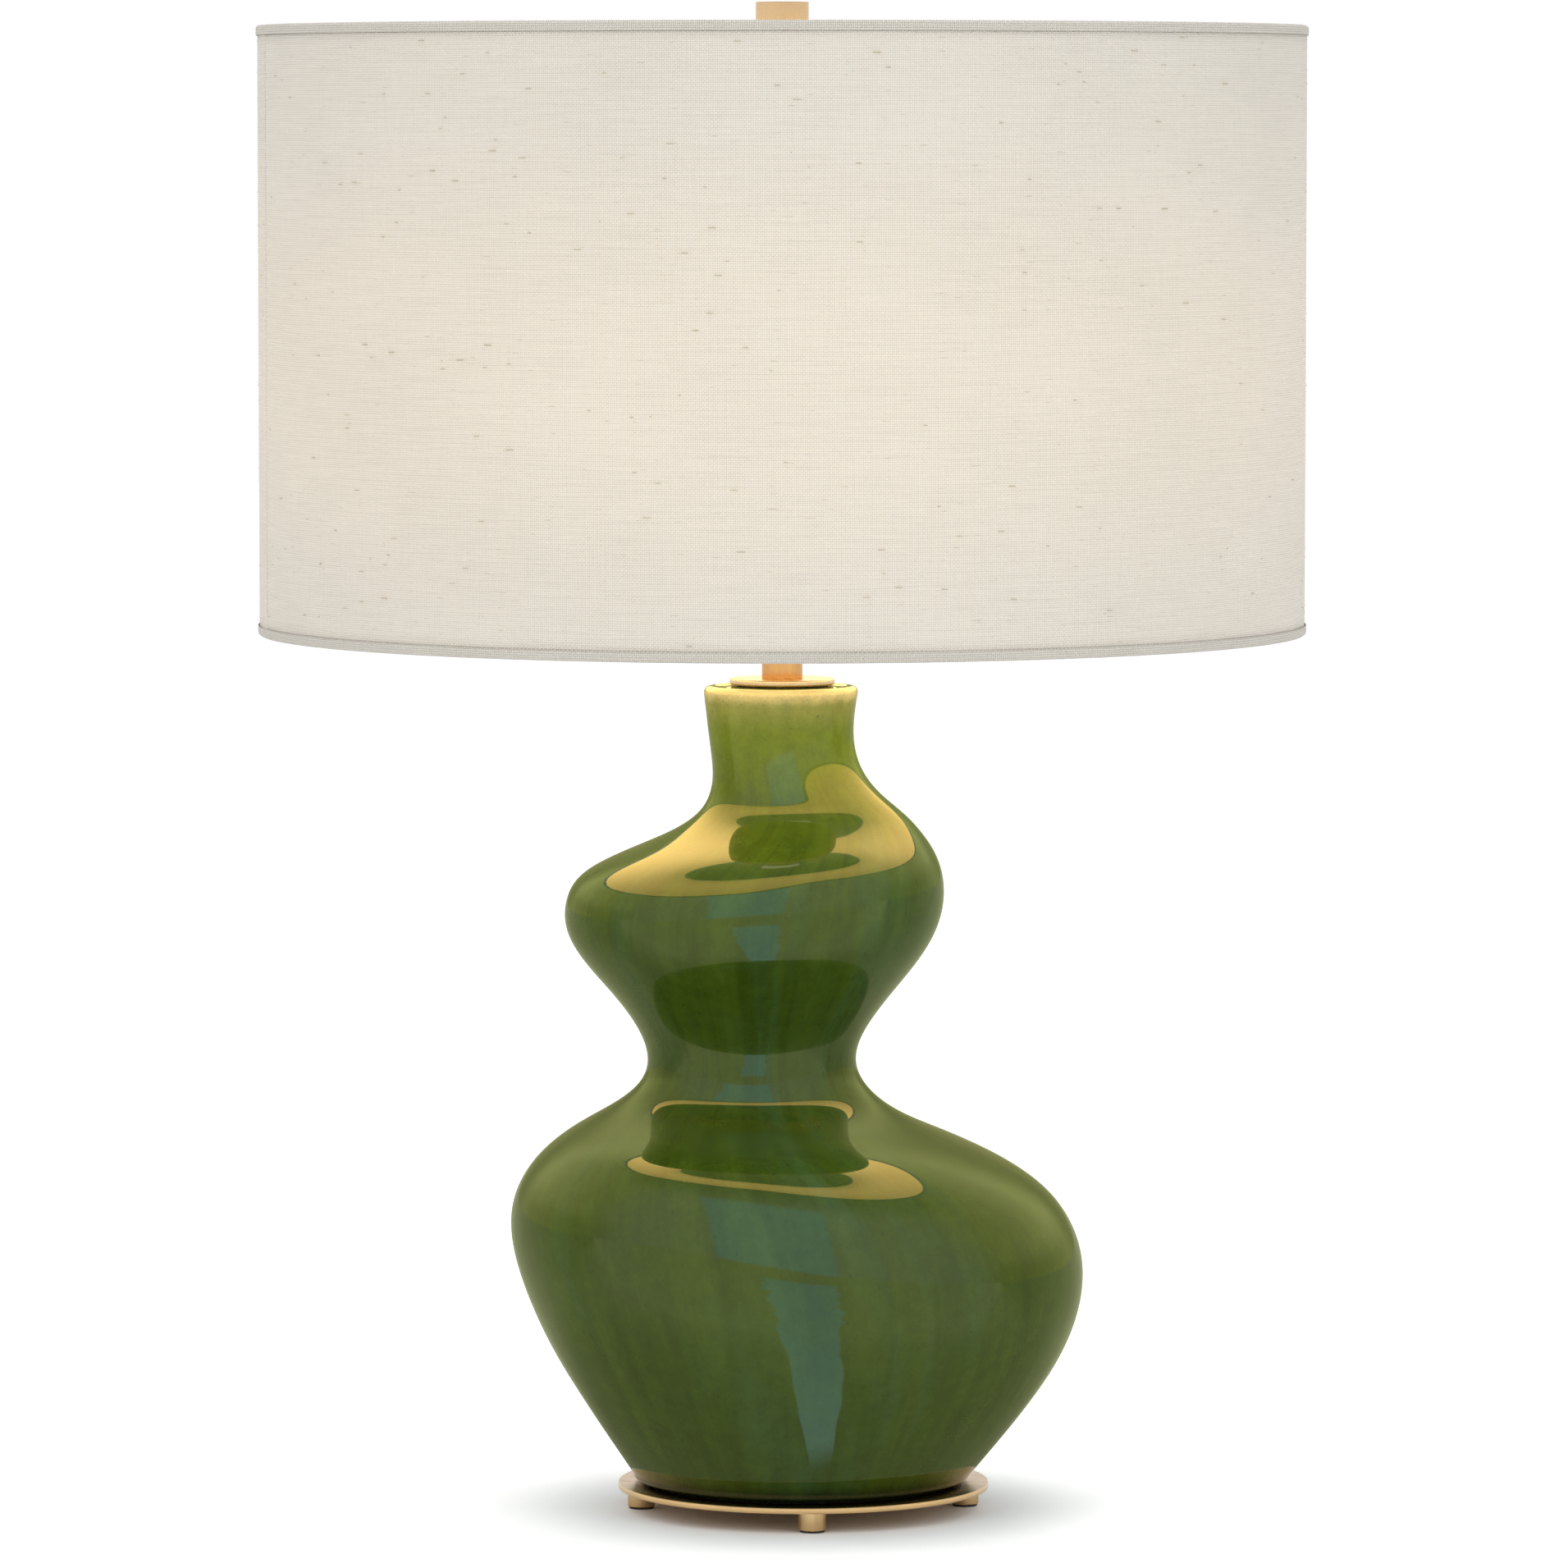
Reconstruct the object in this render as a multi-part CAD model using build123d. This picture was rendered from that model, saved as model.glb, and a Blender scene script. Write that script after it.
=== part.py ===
"""Double gourd table lamp: glazed ceramic body on a footed brass plate, drum shade on a harp.

Millimetres, +Z up. The origin is on the lamp's rod axis, level with the undersides of the feet.
+X is the side to which the lower gourd leans, and -Y is the front.
"""
from build123d import *
import math
import os

# ---- stand: plate, feet, pads ----
PLATE_THICKNESS = 2.8
PLATE_RIM_BEYOND_FEET = 4.4   # from the side of each foot out to the plate's rim
PLATE_OFFSET_X = 9.8          # the plate follows the leaning foot of the ceramic, the rod doesn't
PLATE_EDGE_ROUND = 0.5
PLATE_CENTRE_HEIGHT = 9.6     # underside of the plate above the table
FOOT_COUNT = 4
FOOT_RADIUS = 6.3
FOOT_CIRCLE_RADIUS = 75.2
FOOT_FIRST_ANGLE = -87.0      # the front foot stands a little to +X
FOOT_EDGE_CHAMFER = 0.4
FOOT_SPIGOT_RADIUS = 2.5
FOOT_SPIGOT_LENGTH = 2.2
FELT_THICKNESS = 1.0
FELT_INSET = 0.4              # the pad is this much smaller than the foot

# ---- ceramic body: height, centre in X, half width in X and half depth in Y of the oval there ----
BODY_STATIONS = [
    (13.0, 9.0, 75.5, 75.5),
    (45.0, 11.5, 99.5, 99.5),
    (80.0, 12.0, 121.0, 121.0),
    (110.0, 9.0, 130.5, 132.0),
    (135.0, 3.5, 129.0, 132.0),
    (152.0, -1.8, 119.3, 127.5),
    (165.0, -7.8, 104.0, 119.5),
    (173.0, -12.0, 90.6, 106.5),
    (181.0, -15.0, 75.5, 77.5),
    (189.0, -14.9, 62.0, 55.5),
    (197.0, -14.1, 52.9, 49.3),
    (206.0, -14.0, 48.5, 48.5),
    (222.0, -14.0, 52.0, 52.0),
    (242.0, -14.0, 66.5, 66.5),
    (264.0, -14.5, 83.0, 84.0),
    (284.0, -12.5, 87.0, 88.5),
    (297.0, -8.0, 81.4, 85.0),
    (306.0, -0.7, 70.5, 76.0),
    (314.0, 5.8, 58.6, 57.0),
    (322.0, 8.5, 48.6, 41.3),
    (332.0, 6.1, 39.5, 36.0),
    (352.0, 0.5, 33.5, 33.5),
    (382.0, -0.5, 36.0, 36.0),
]
BODY_WALL = 6.0
BODY_FLOOR = 7.0
BODY_CROWN = 8.0
BODY_SECTION_COUNT = 60       # ovals lofted between foot and lip
CAVITY_SECTION_COUNT = 40
SLOPE_STEP = 1.0              # height either side over which the wall's slope is taken
FOOT_ROUND = 3.0
LIP_ROUND = 3.2
BODY_SEAT_GAP = 0.6           # felt ring between plate and ceramic
SEAT_RING_WIDTH = 9.0
SEAT_RING_INSET = 5.0
BODY_ROD_HOLE_RADIUS = 6.5

# ---- rod and its hardware ----
ROD_RADIUS = 5.15
ROD_BORE_RADIUS = 3.4
ROD_HOLE_CLEARANCE = 0.1
ROD_BELOW_NUT = 0.8
ROD_ABOVE_NUT = 8.0
NUT_ACROSS_FLATS = 14.3
BOTTOM_NUT_THICKNESS = 3.6
TOP_NUT_THICKNESS = 4.0
WASHER_RADIUS = 16.0
WASHER_THICKNESS = 1.2
BUSHING_RADIUS = 5.8
BUSHING_FLANGE = 1.6
BUSHING_SPIGOT = 5.0
BUSHING_BORE_RADIUS = 2.9
BUSHING_CLEARANCE = 0.05

# ---- neck ----
NECK_GASKET_RADIUS = 21.0
NECK_GASKET_THICKNESS = 0.6
DISC_RADIUS = 24.3
DISC_THICKNESS = 3.0
DISC_EDGE_ROUND = 0.9
TUBE_RADIUS = 9.4
TUBE_WALL = 1.2
TUBE_LENGTH = 26.0
TUBE_CAP_THICKNESS = 2.0
TUBE_CAP_SPIGOT = 5.0
TUBE_FIT_CLEARANCE = 0.05

# ---- harp and saddle ----
SADDLE_THICKNESS = 1.5
SADDLE_WIDTH = 12.0
SADDLE_HALF_LENGTH = 34.0
EAR_THICKNESS = 1.4
EAR_WIDTH = 6.0
EAR_HEIGHT = 11.0
LEG_POSITION = 28.8           # centre of each harp leg from the axis
LEG_EAR_GAP = 0.2
HARP_WIRE_RADIUS = 1.8
HARP_LEG_STRAIGHT = 33.0
HARP_SHOULDER_WIDTH = 57.0    # half width of the harp where it is widest
HARP_SHOULDER_HEIGHT = 76.0
HARP_TOP_WIDTH = 43.0
HARP_TOP_HEIGHT = 248.5       # wire centre at the top, above the saddle
HARP_LEG_BEND = 22.0
HARP_SHOULDER_BEND = 60.0
HARP_TOP_BEND = 32.0
FERRULE_WALL = 0.9
FERRULE_HEIGHT = 13.0
FERRULE_CLEARANCE = 0.3
STUD_BLOCK_RADIUS = 5.5
STUD_SEAT_RADIUS = 7.5
STUD_SEAT_THICKNESS = 1.6
STUD_BLOCK_OVER_WIRE = 1.2
STUD_RADIUS = 3.1
STUD_LENGTH = 17.0
STUD_FIT_GAP = 0.05           # between the crimped block and the harp's wire

# ---- socket ----
CAP_RADIUS = 18.6
CAP_HUB_RADIUS = 8.0
CAP_HUB_HEIGHT = 4.5
CAP_HEIGHT = 17.0
CAP_WALL = 0.9
SET_SCREW_RADIUS = 1.5
SHELL_RADIUS = 17.6
SHELL_WALL = 0.6
SHELL_HEIGHT = 41.0
SHELL_IN_CAP = 6.0
SHELL_BEAD = 0.7
LINER_WALL = 0.6
LINER_GAP = 0.1
SOCKET_BODY_RADIUS = 15.6
SOCKET_BODY_HEIGHT = 16.0
SCREW_SHELL_RADIUS = 13.9
SCREW_SHELL_WALL = 0.5
SCREW_SHELL_HEIGHT = 24.0
CONTACT_WIDTH = 5.0
CONTACT_LENGTH = 12.0
CONTACT_THICKNESS = 0.5
CONTACT_RISE = 2.4
SWITCH_HEIGHT = 10.6          # of the switch axis above the socket body's underside
SWITCH_STEM_RADIUS = 1.6
SWITCH_COLLAR_RADIUS = 4.2
SWITCH_COLLAR_LENGTH = 3.0
STEM_INNER_END = 4.0          # where the stem ends inside the insulator
KNOB_RADIUS = 4.6
KNOB_LENGTH = 15.0
KNOB_GAP = 0.4
KNOB_FLUTE_COUNT = 10
KNOB_FLUTE_RADIUS = 0.7
SWITCH_CLEARANCE = 0.05

# ---- bulb ----
BULB_RADIUS = 30.0
BULB_CENTRE_ABOVE_CAP = 78.0
BULB_NECK_IN_CAP = 6.0
BULB_GLASS_WALL = 0.9
BULB_CAP_RADIUS = 13.0
BULB_CAP_HEIGHT = 21.0
BULB_CAP_WALL = 0.4
BULB_CAP_TAPER_RADIUS = 7.5
BULB_TIP_RADIUS = 4.0
BULB_TIP_HEIGHT = 2.0

# ---- shade ----
SHADE_RADIUS = 241.3          # 19 in across
SHADE_HEIGHT = 279.0
SHADE_HUB_RECESS = 14.7       # the hub's face lies this far below the shade's top
HEM_HEIGHT = 4.6
HEM_THICKNESS = 0.35
COVER_THICKNESS = 0.8
PANEL_THICKNESS = 0.9
LAYER_GAP = 0.05
RING_WIRE_RADIUS = 1.8
RING_GAP = 0.12
SPIDER_COUNT = 3
SPIDER_FIRST_ANGLE = 90.0
SPIDER_WIRE_RADIUS = 1.6
SPIDER_BEND = 6.0
WELD_GAP = 0.08
HUB_RADIUS = 11.0
HUB_THICKNESS = 2.5
HUB_CLEARANCE = 0.06
ARM_NOTCH = 0.3               # room round each arm where it passes the hem
ARM_BELOW_FINIAL = 0.3        # the arms lie this much below the face the finial presses on

# ---- finial ----
FINIAL_RADIUS = 12.2
FINIAL_HEIGHT = 25.55
FINIAL_GAP = 0.05             # so that the finial turns freely over the hub
FINIAL_EDGE_ROUND = 0.4
FINIAL_CLEARANCE = 0.06
FINIAL_BORE_SPARE = 2.0

# ---- sizes and heights that follow ----
PLATE_RADIUS = FOOT_CIRCLE_RADIUS + FOOT_RADIUS + PLATE_RIM_BEYOND_FEET
FOOT_HEIGHT = PLATE_CENTRE_HEIGHT - FELT_THICKNESS
PLATE_TOP = PLATE_CENTRE_HEIGHT + PLATE_THICKNESS
BODY_BOTTOM = PLATE_TOP + BODY_SEAT_GAP
BODY_TOP = BODY_STATIONS[-1][0]
DISC_BOTTOM = BODY_TOP + NECK_GASKET_THICKNESS
TUBE_BOTTOM = DISC_BOTTOM + DISC_THICKNESS
TUBE_TOP = TUBE_BOTTOM + TUBE_LENGTH
SADDLE_BOTTOM = TUBE_TOP + TUBE_CAP_THICKNESS
SADDLE_TOP = SADDLE_BOTTOM + SADDLE_THICKNESS
TOP_NUT_TOP = SADDLE_TOP + TOP_NUT_THICKNESS
ROD_BOTTOM = PLATE_CENTRE_HEIGHT - WASHER_THICKNESS - BOTTOM_NUT_THICKNESS - ROD_BELOW_NUT
ROD_TOP = TOP_NUT_TOP + ROD_ABOVE_NUT
CAP_TOP = TOP_NUT_TOP + CAP_HEIGHT
SHELL_BOTTOM = CAP_TOP - SHELL_IN_CAP
SHELL_TOP = SHELL_BOTTOM + SHELL_HEIGHT
SOCKET_BODY_BOTTOM = SHELL_BOTTOM + LINER_GAP
SOCKET_BODY_TOP = SOCKET_BODY_BOTTOM + SOCKET_BODY_HEIGHT
SWITCH_Z = SOCKET_BODY_BOTTOM + SWITCH_HEIGHT
CONTACT_TOP = SOCKET_BODY_TOP + CONTACT_RISE
BULB_CAP_BOTTOM = CONTACT_TOP + BULB_TIP_HEIGHT
BULB_CAP_TOP = BULB_CAP_BOTTOM + BULB_CAP_HEIGHT
BULB_CENTRE = BULB_CAP_BOTTOM + BULB_CENTRE_ABOVE_CAP
HARP_TOP = SADDLE_TOP + HARP_TOP_HEIGHT
HUB_BOTTOM = HARP_TOP + HARP_WIRE_RADIUS + STUD_BLOCK_OVER_WIRE + STUD_SEAT_THICKNESS
HUB_TOP = HUB_BOTTOM + HUB_THICKNESS
FINIAL_BOTTOM = HUB_TOP + FINIAL_GAP
SHADE_TOP_HEIGHT = HUB_TOP + SHADE_HUB_RECESS
SHADE_BOTTOM_HEIGHT = SHADE_TOP_HEIGHT - SHADE_HEIGHT
COVER_OUTER = SHADE_RADIUS - HEM_THICKNESS - LAYER_GAP
COVER_INNER = COVER_OUTER - COVER_THICKNESS
PANEL_OUTER = COVER_INNER - LAYER_GAP
PANEL_INNER = PANEL_OUTER - PANEL_THICKNESS
RING_RADIUS = PANEL_INNER - RING_GAP - RING_WIRE_RADIUS
RING_INSET = HEM_THICKNESS + RING_GAP + RING_WIRE_RADIUS

UP = (Align.CENTER, Align.CENTER, Align.MIN)


def disc(radius, height, z, x=0.0, y=0.0):
    """Solid cylinder standing on height z."""
    return Pos(x, y, z) * Cylinder(radius, height, align=UP)


def tube(outer, inner, height, z, x=0.0, y=0.0):
    """Round tube standing on height z."""
    return disc(outer, height, z, x, y) - disc(inner, height, z, x, y)


def revolved(points):
    """Solid of revolution about Z from an (r, z) outline."""
    return revolve(make_face(Polyline([(r, 0, z) for r, z in points], close=True)), Axis.Z)


def wire_along(points, radii, radius):
    """Round wire along straight runs joined by arcs of the given radii."""
    path = FilletPolyline([Vector(*p) for p in points], radius=radii)
    start = Plane(origin=path @ 0, z_dir=path % 0)
    return sweep(start * Circle(radius), path=path)


def round_rim(solid, z, radius):
    """Round the outermost edge that lies level at height z."""
    level = [e for e in solid.edges()
             if abs(e.bounding_box().min.Z - z) < 0.01 and abs(e.bounding_box().max.Z - z) < 0.01]
    return fillet(max(level, key=lambda e: e.length), radius)


def second_slopes(xs, ys):
    """Second derivatives of the natural cubic spline through the points."""
    count = len(xs)
    upper = [0.0] * count
    rest = [0.0] * count
    for i in range(1, count - 1):
        before = xs[i] - xs[i - 1]
        after = xs[i + 1] - xs[i]
        bend = 6 * ((ys[i + 1] - ys[i]) / after - (ys[i] - ys[i - 1]) / before)
        pivot = 2 * (before + after) - before * upper[i - 1]
        upper[i] = after / pivot
        rest[i] = (bend - before * rest[i - 1]) / pivot
    slopes = [0.0] * count
    for i in range(count - 2, 0, -1):
        slopes[i] = rest[i] - upper[i] * slopes[i + 1]
    return slopes


def smooth(xs, ys):
    """Function that runs smoothly through the points."""
    slopes = second_slopes(xs, ys)

    def value(x):
        i = max(k for k in range(len(xs) - 1) if k == 0 or xs[k] <= x)
        span = xs[i + 1] - xs[i]
        b = (x - xs[i]) / span
        a = 1 - b
        curve = (a ** 3 - a) * slopes[i] + (b ** 3 - b) * slopes[i + 1]
        return a * ys[i] + b * ys[i + 1] + curve * span * span / 6

    return value


# the body's centre line, half width and half depth, as functions of height
STATION_HEIGHTS = [BODY_BOTTOM] + [station[0] for station in BODY_STATIONS[1:]]
body_centre = smooth(STATION_HEIGHTS, [station[1] for station in BODY_STATIONS])
body_half_width = smooth(STATION_HEIGHTS, [station[2] for station in BODY_STATIONS])
body_half_depth = smooth(STATION_HEIGHTS, [station[3] for station in BODY_STATIONS])


def evenly(low, high, count):
    """Evenly spaced numbers from low to high."""
    return [low + (high - low) * i / (count - 1) for i in range(count)]


def oval_section(z, half_width, half_depth):
    """Oval face on the body's leaning centre line, with its seam towards +X."""
    return Pos(body_centre(z), 0, z) * scale(Circle(1), (half_width, half_depth, 1))


def inside_of(half_size, z):
    """Half size of the cavity that leaves the wall's thickness square to the slope."""
    slope = (half_size(z + SLOPE_STEP) - half_size(z - SLOPE_STEP)) / (2 * SLOPE_STEP)
    return half_size(z) - BODY_WALL * math.sqrt(1 + slope * slope)


def ceramic_body():
    """The leaning double gourd, slip cast: two bulbs off centre from each other, hollow inside."""
    heights = evenly(BODY_BOTTOM, BODY_TOP, BODY_SECTION_COUNT)
    outside = loft([oval_section(z, body_half_width(z), body_half_depth(z)) for z in heights])
    outside = round_rim(outside, BODY_TOP, LIP_ROUND)
    outside = round_rim(outside, BODY_BOTTOM, FOOT_ROUND)
    heights = evenly(BODY_BOTTOM + BODY_FLOOR, BODY_TOP - BODY_CROWN, CAVITY_SECTION_COUNT)
    cavity = loft([oval_section(z, inside_of(body_half_width, z), inside_of(body_half_depth, z))
                   for z in heights])
    rod_hole = disc(BODY_ROD_HOLE_RADIUS, BODY_TOP, 0)
    return outside - cavity - rod_hole


def foot_places():
    """Centre of each foot in X and Y."""
    step = 360 / FOOT_COUNT
    angles = [math.radians(FOOT_FIRST_ANGLE + step * i) for i in range(FOOT_COUNT)]
    return [(PLATE_OFFSET_X + FOOT_CIRCLE_RADIUS * math.cos(a), FOOT_CIRCLE_RADIUS * math.sin(a))
            for a in angles]


def base_plate():
    plate = disc(PLATE_RADIUS, PLATE_THICKNESS, PLATE_CENTRE_HEIGHT, PLATE_OFFSET_X)
    plate = fillet(plate.edges().filter_by(GeomType.CIRCLE), PLATE_EDGE_ROUND)
    plate -= disc(ROD_RADIUS + ROD_HOLE_CLEARANCE, PLATE_TOP, 0)
    for x, y in foot_places():
        plate -= disc(FOOT_SPIGOT_RADIUS + TUBE_FIT_CLEARANCE, PLATE_TOP, 0, x, y)
    return plate


def foot(x, y):
    """Turned foot with the spigot that holds it in the plate."""
    post = disc(FOOT_RADIUS, FOOT_HEIGHT, FELT_THICKNESS, x, y)
    bottom = post.edges().filter_by(GeomType.CIRCLE).sort_by(Axis.Z)[0]
    post = chamfer(bottom, FOOT_EDGE_CHAMFER)
    return post + disc(FOOT_SPIGOT_RADIUS, FOOT_SPIGOT_LENGTH, PLATE_CENTRE_HEIGHT, x, y)


def base_gasket():
    outer = BODY_STATIONS[0][2] - SEAT_RING_INSET
    centre = BODY_STATIONS[0][1]
    return tube(outer, outer - SEAT_RING_WIDTH, BODY_SEAT_GAP, PLATE_TOP, centre)


def hex_nut(thickness, z):
    flat_to_flat = RegularPolygon(NUT_ACROSS_FLATS / 2, 6, major_radius=False)
    nut = extrude(Pos(0, 0, z) * flat_to_flat, thickness)
    return nut - disc(ROD_RADIUS + ROD_HOLE_CLEARANCE, thickness, z)


def cord_bushing():
    """Bushing in the rod's lower end, where the cord would enter."""
    flange = disc(BUSHING_RADIUS, BUSHING_FLANGE, ROD_BOTTOM - BUSHING_FLANGE)
    flange = round_rim(flange, ROD_BOTTOM - BUSHING_FLANGE, BUSHING_FLANGE / 2)
    spigot = disc(ROD_BORE_RADIUS - BUSHING_CLEARANCE, BUSHING_SPIGOT, ROD_BOTTOM)
    length = BUSHING_FLANGE + BUSHING_SPIGOT
    return flange + spigot - disc(BUSHING_BORE_RADIUS, length, ROD_BOTTOM - BUSHING_FLANGE)


def neck_disc():
    plate = disc(DISC_RADIUS, DISC_THICKNESS, DISC_BOTTOM)
    plate = fillet(plate.edges().filter_by(GeomType.CIRCLE), DISC_EDGE_ROUND)
    return plate - disc(ROD_RADIUS + ROD_HOLE_CLEARANCE, DISC_THICKNESS, DISC_BOTTOM)


def tube_cap():
    """Turned plug that centres the neck tube on the rod and carries the saddle."""
    flange = disc(TUBE_RADIUS, TUBE_CAP_THICKNESS, TUBE_TOP)
    spigot_radius = TUBE_RADIUS - TUBE_WALL - TUBE_FIT_CLEARANCE
    spigot = disc(spigot_radius, TUBE_CAP_SPIGOT, TUBE_TOP - TUBE_CAP_SPIGOT)
    height = TUBE_CAP_THICKNESS + TUBE_CAP_SPIGOT
    hole = disc(ROD_RADIUS + ROD_HOLE_CLEARANCE, height, TUBE_TOP - TUBE_CAP_SPIGOT)
    return flange + spigot - hole


def ear_centre():
    """Distance of each ear's middle plane from the axis."""
    return LEG_POSITION - HARP_WIRE_RADIUS - LEG_EAR_GAP - EAR_THICKNESS / 2


def harp_saddle():
    """Bent strip under the socket, with an ear for each harp leg."""
    strip = Pos(0, 0, SADDLE_BOTTOM) * extrude(SlotOverall(2 * SADDLE_HALF_LENGTH, SADDLE_WIDTH),
                                               SADDLE_THICKNESS)
    for side in (-1, 1):
        ear = Box(EAR_THICKNESS, EAR_WIDTH, EAR_HEIGHT, align=UP)
        ear = fillet(ear.edges().filter_by(Axis.X).group_by(Axis.Z)[-1], EAR_WIDTH / 3)
        strip += Pos(side * ear_centre(), 0, SADDLE_TOP) * ear
    return strip - disc(ROD_RADIUS + ROD_HOLE_CLEARANCE, SADDLE_THICKNESS, SADDLE_BOTTOM)


def harp():
    """Bent wire loop that goes round the bulb and carries the shade."""
    half = [
        (LEG_POSITION, 0, SADDLE_TOP),
        (LEG_POSITION, 0, SADDLE_TOP + HARP_LEG_STRAIGHT),
        (HARP_SHOULDER_WIDTH, 0, SADDLE_TOP + HARP_SHOULDER_HEIGHT),
        (HARP_TOP_WIDTH, 0, HARP_TOP),
    ]
    bends = [HARP_LEG_BEND, HARP_SHOULDER_BEND, HARP_TOP_BEND]
    other_half = [(-x, y, z) for x, y, z in reversed(half)]
    return wire_along(half + other_half, bends + bends[::-1], HARP_WIRE_RADIUS)


def harp_stud():
    """Crimped block on the harp's top, with the seat and threaded stud for the shade."""
    low = HARP_TOP - HARP_WIRE_RADIUS - STUD_BLOCK_OVER_WIRE
    block = disc(STUD_BLOCK_RADIUS, HUB_BOTTOM - STUD_SEAT_THICKNESS - low, low)
    across = Rot(0, 90, 0) * Cylinder(HARP_WIRE_RADIUS + STUD_FIT_GAP, 4 * STUD_BLOCK_RADIUS)
    block -= Pos(0, 0, HARP_TOP) * across
    seat = disc(STUD_SEAT_RADIUS, STUD_SEAT_THICKNESS, HUB_BOTTOM - STUD_SEAT_THICKNESS)
    stud = disc(STUD_RADIUS, STUD_LENGTH, HUB_BOTTOM)
    stud = chamfer(stud.edges().filter_by(GeomType.CIRCLE).sort_by(Axis.Z)[-1], STUD_RADIUS / 6)
    return block + seat + stud


def ferrule_inner_radius():
    """Bore that clears both the harp's leg and the ear beside it."""
    corner = math.hypot(ferrule_centre() - (ear_centre() - EAR_THICKNESS / 2), EAR_WIDTH / 2)
    leg = LEG_POSITION + HARP_WIRE_RADIUS - ferrule_centre()
    return max(corner, leg) + FERRULE_CLEARANCE


def ferrule_centre():
    """Distance of each ferrule's axis from the lamp's axis."""
    return ear_centre() + EAR_THICKNESS / 2 + LEG_EAR_GAP + HARP_WIRE_RADIUS / 2


def harp_ferrule(side):
    """Sleeve that locks a harp leg to its ear; it lifts to free the harp."""
    inner = ferrule_inner_radius()
    return tube(inner + FERRULE_WALL, inner, FERRULE_HEIGHT, SADDLE_TOP, side * ferrule_centre())


def socket_cap():
    """Spun cap that screws on the rod and holds the shell."""
    dome = CAP_HUB_HEIGHT + (CAP_HEIGHT - SHELL_IN_CAP - CAP_HUB_HEIGHT) * 0.75
    z0 = TOP_NUT_TOP
    outline = [
        (ROD_RADIUS + ROD_HOLE_CLEARANCE, z0),
        (CAP_HUB_RADIUS, z0),
        (CAP_HUB_RADIUS, z0 + CAP_HUB_HEIGHT),
        (CAP_RADIUS * 0.86, z0 + dome),
        (CAP_RADIUS, z0 + CAP_HEIGHT - SHELL_IN_CAP + CAP_WALL),
        (CAP_RADIUS, z0 + CAP_HEIGHT),
        (CAP_RADIUS - CAP_WALL, z0 + CAP_HEIGHT),
        (CAP_RADIUS - CAP_WALL, z0 + CAP_HEIGHT - SHELL_IN_CAP),
        (CAP_RADIUS * 0.86 - CAP_WALL, z0 + dome + CAP_WALL),
        (ROD_RADIUS + ROD_HOLE_CLEARANCE, z0 + CAP_HUB_HEIGHT + CAP_WALL),
    ]
    cap = revolved(outline)
    return cap - Pos(0, 0, z0 + CAP_HUB_HEIGHT / 2) * set_screw_bore()


def set_screw_bore():
    """Radial hole in the cap's hub for its set screw, towards the front."""
    hole = Cylinder(SET_SCREW_RADIUS + TUBE_FIT_CLEARANCE, CAP_HUB_RADIUS, align=UP)
    return Rot(90, 0, 0) * hole


def socket_cap_screw():
    """Set screw that stops the cap from turning on the rod."""
    length = CAP_HUB_RADIUS - ROD_RADIUS + 1.0
    screw = Rot(90, 0, 0) * Cylinder(SET_SCREW_RADIUS, length, align=UP)
    start = ROD_RADIUS + ROD_HOLE_CLEARANCE
    return Pos(0, -start, TOP_NUT_TOP + CAP_HUB_HEIGHT / 2) * screw


def socket_shell():
    """Brass shell with a rolled bead at its mouth and a hole for the switch."""
    shell = tube(SHELL_RADIUS, SHELL_RADIUS - SHELL_WALL, SHELL_HEIGHT, SHELL_BOTTOM)
    bead = tube(SHELL_RADIUS + SHELL_BEAD, SHELL_RADIUS - SHELL_WALL / 2, 2 * SHELL_BEAD,
                SHELL_TOP - 2 * SHELL_BEAD)
    return shell + bead - switch_bore()


def switch_bore():
    """Way for the switch collar through shell and liner, towards the back."""
    bore = Rot(-90, 0, 0) * Cylinder(SWITCH_COLLAR_RADIUS + TUBE_FIT_CLEARANCE, 2 * CAP_RADIUS,
                                     align=UP)
    return Pos(0, 0, SWITCH_Z) * bore


def liner_outer():
    return SHELL_RADIUS - SHELL_WALL - LINER_GAP


def socket_liner():
    """Insulating card sleeve inside the shell."""
    outer = liner_outer()
    height = SHELL_HEIGHT - 3 * SHELL_BEAD
    return tube(outer, outer - LINER_WALL, height, SHELL_BOTTOM) - switch_bore()


def socket_body():
    """Moulded insulator that holds the switch and the contacts."""
    body = disc(SOCKET_BODY_RADIUS, SOCKET_BODY_HEIGHT, SOCKET_BODY_BOTTOM)
    stem_bore = Rot(-90, 0, 0) * Cylinder(SWITCH_STEM_RADIUS + SWITCH_CLEARANCE,
                                          2 * SOCKET_BODY_RADIUS, align=UP)
    return body - Pos(0, 0, SWITCH_Z) * stem_bore


def switch_collar():
    """Threaded collar of the switch, which comes out through the shell."""
    start = SOCKET_BODY_RADIUS + 0.1
    length = SHELL_RADIUS + SWITCH_COLLAR_LENGTH - start
    collar = Cylinder(SWITCH_COLLAR_RADIUS, length, align=UP)
    collar -= Cylinder(SWITCH_STEM_RADIUS + SWITCH_CLEARANCE, length, align=UP)
    return Pos(0, start, SWITCH_Z) * Rot(-90, 0, 0) * collar


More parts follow.
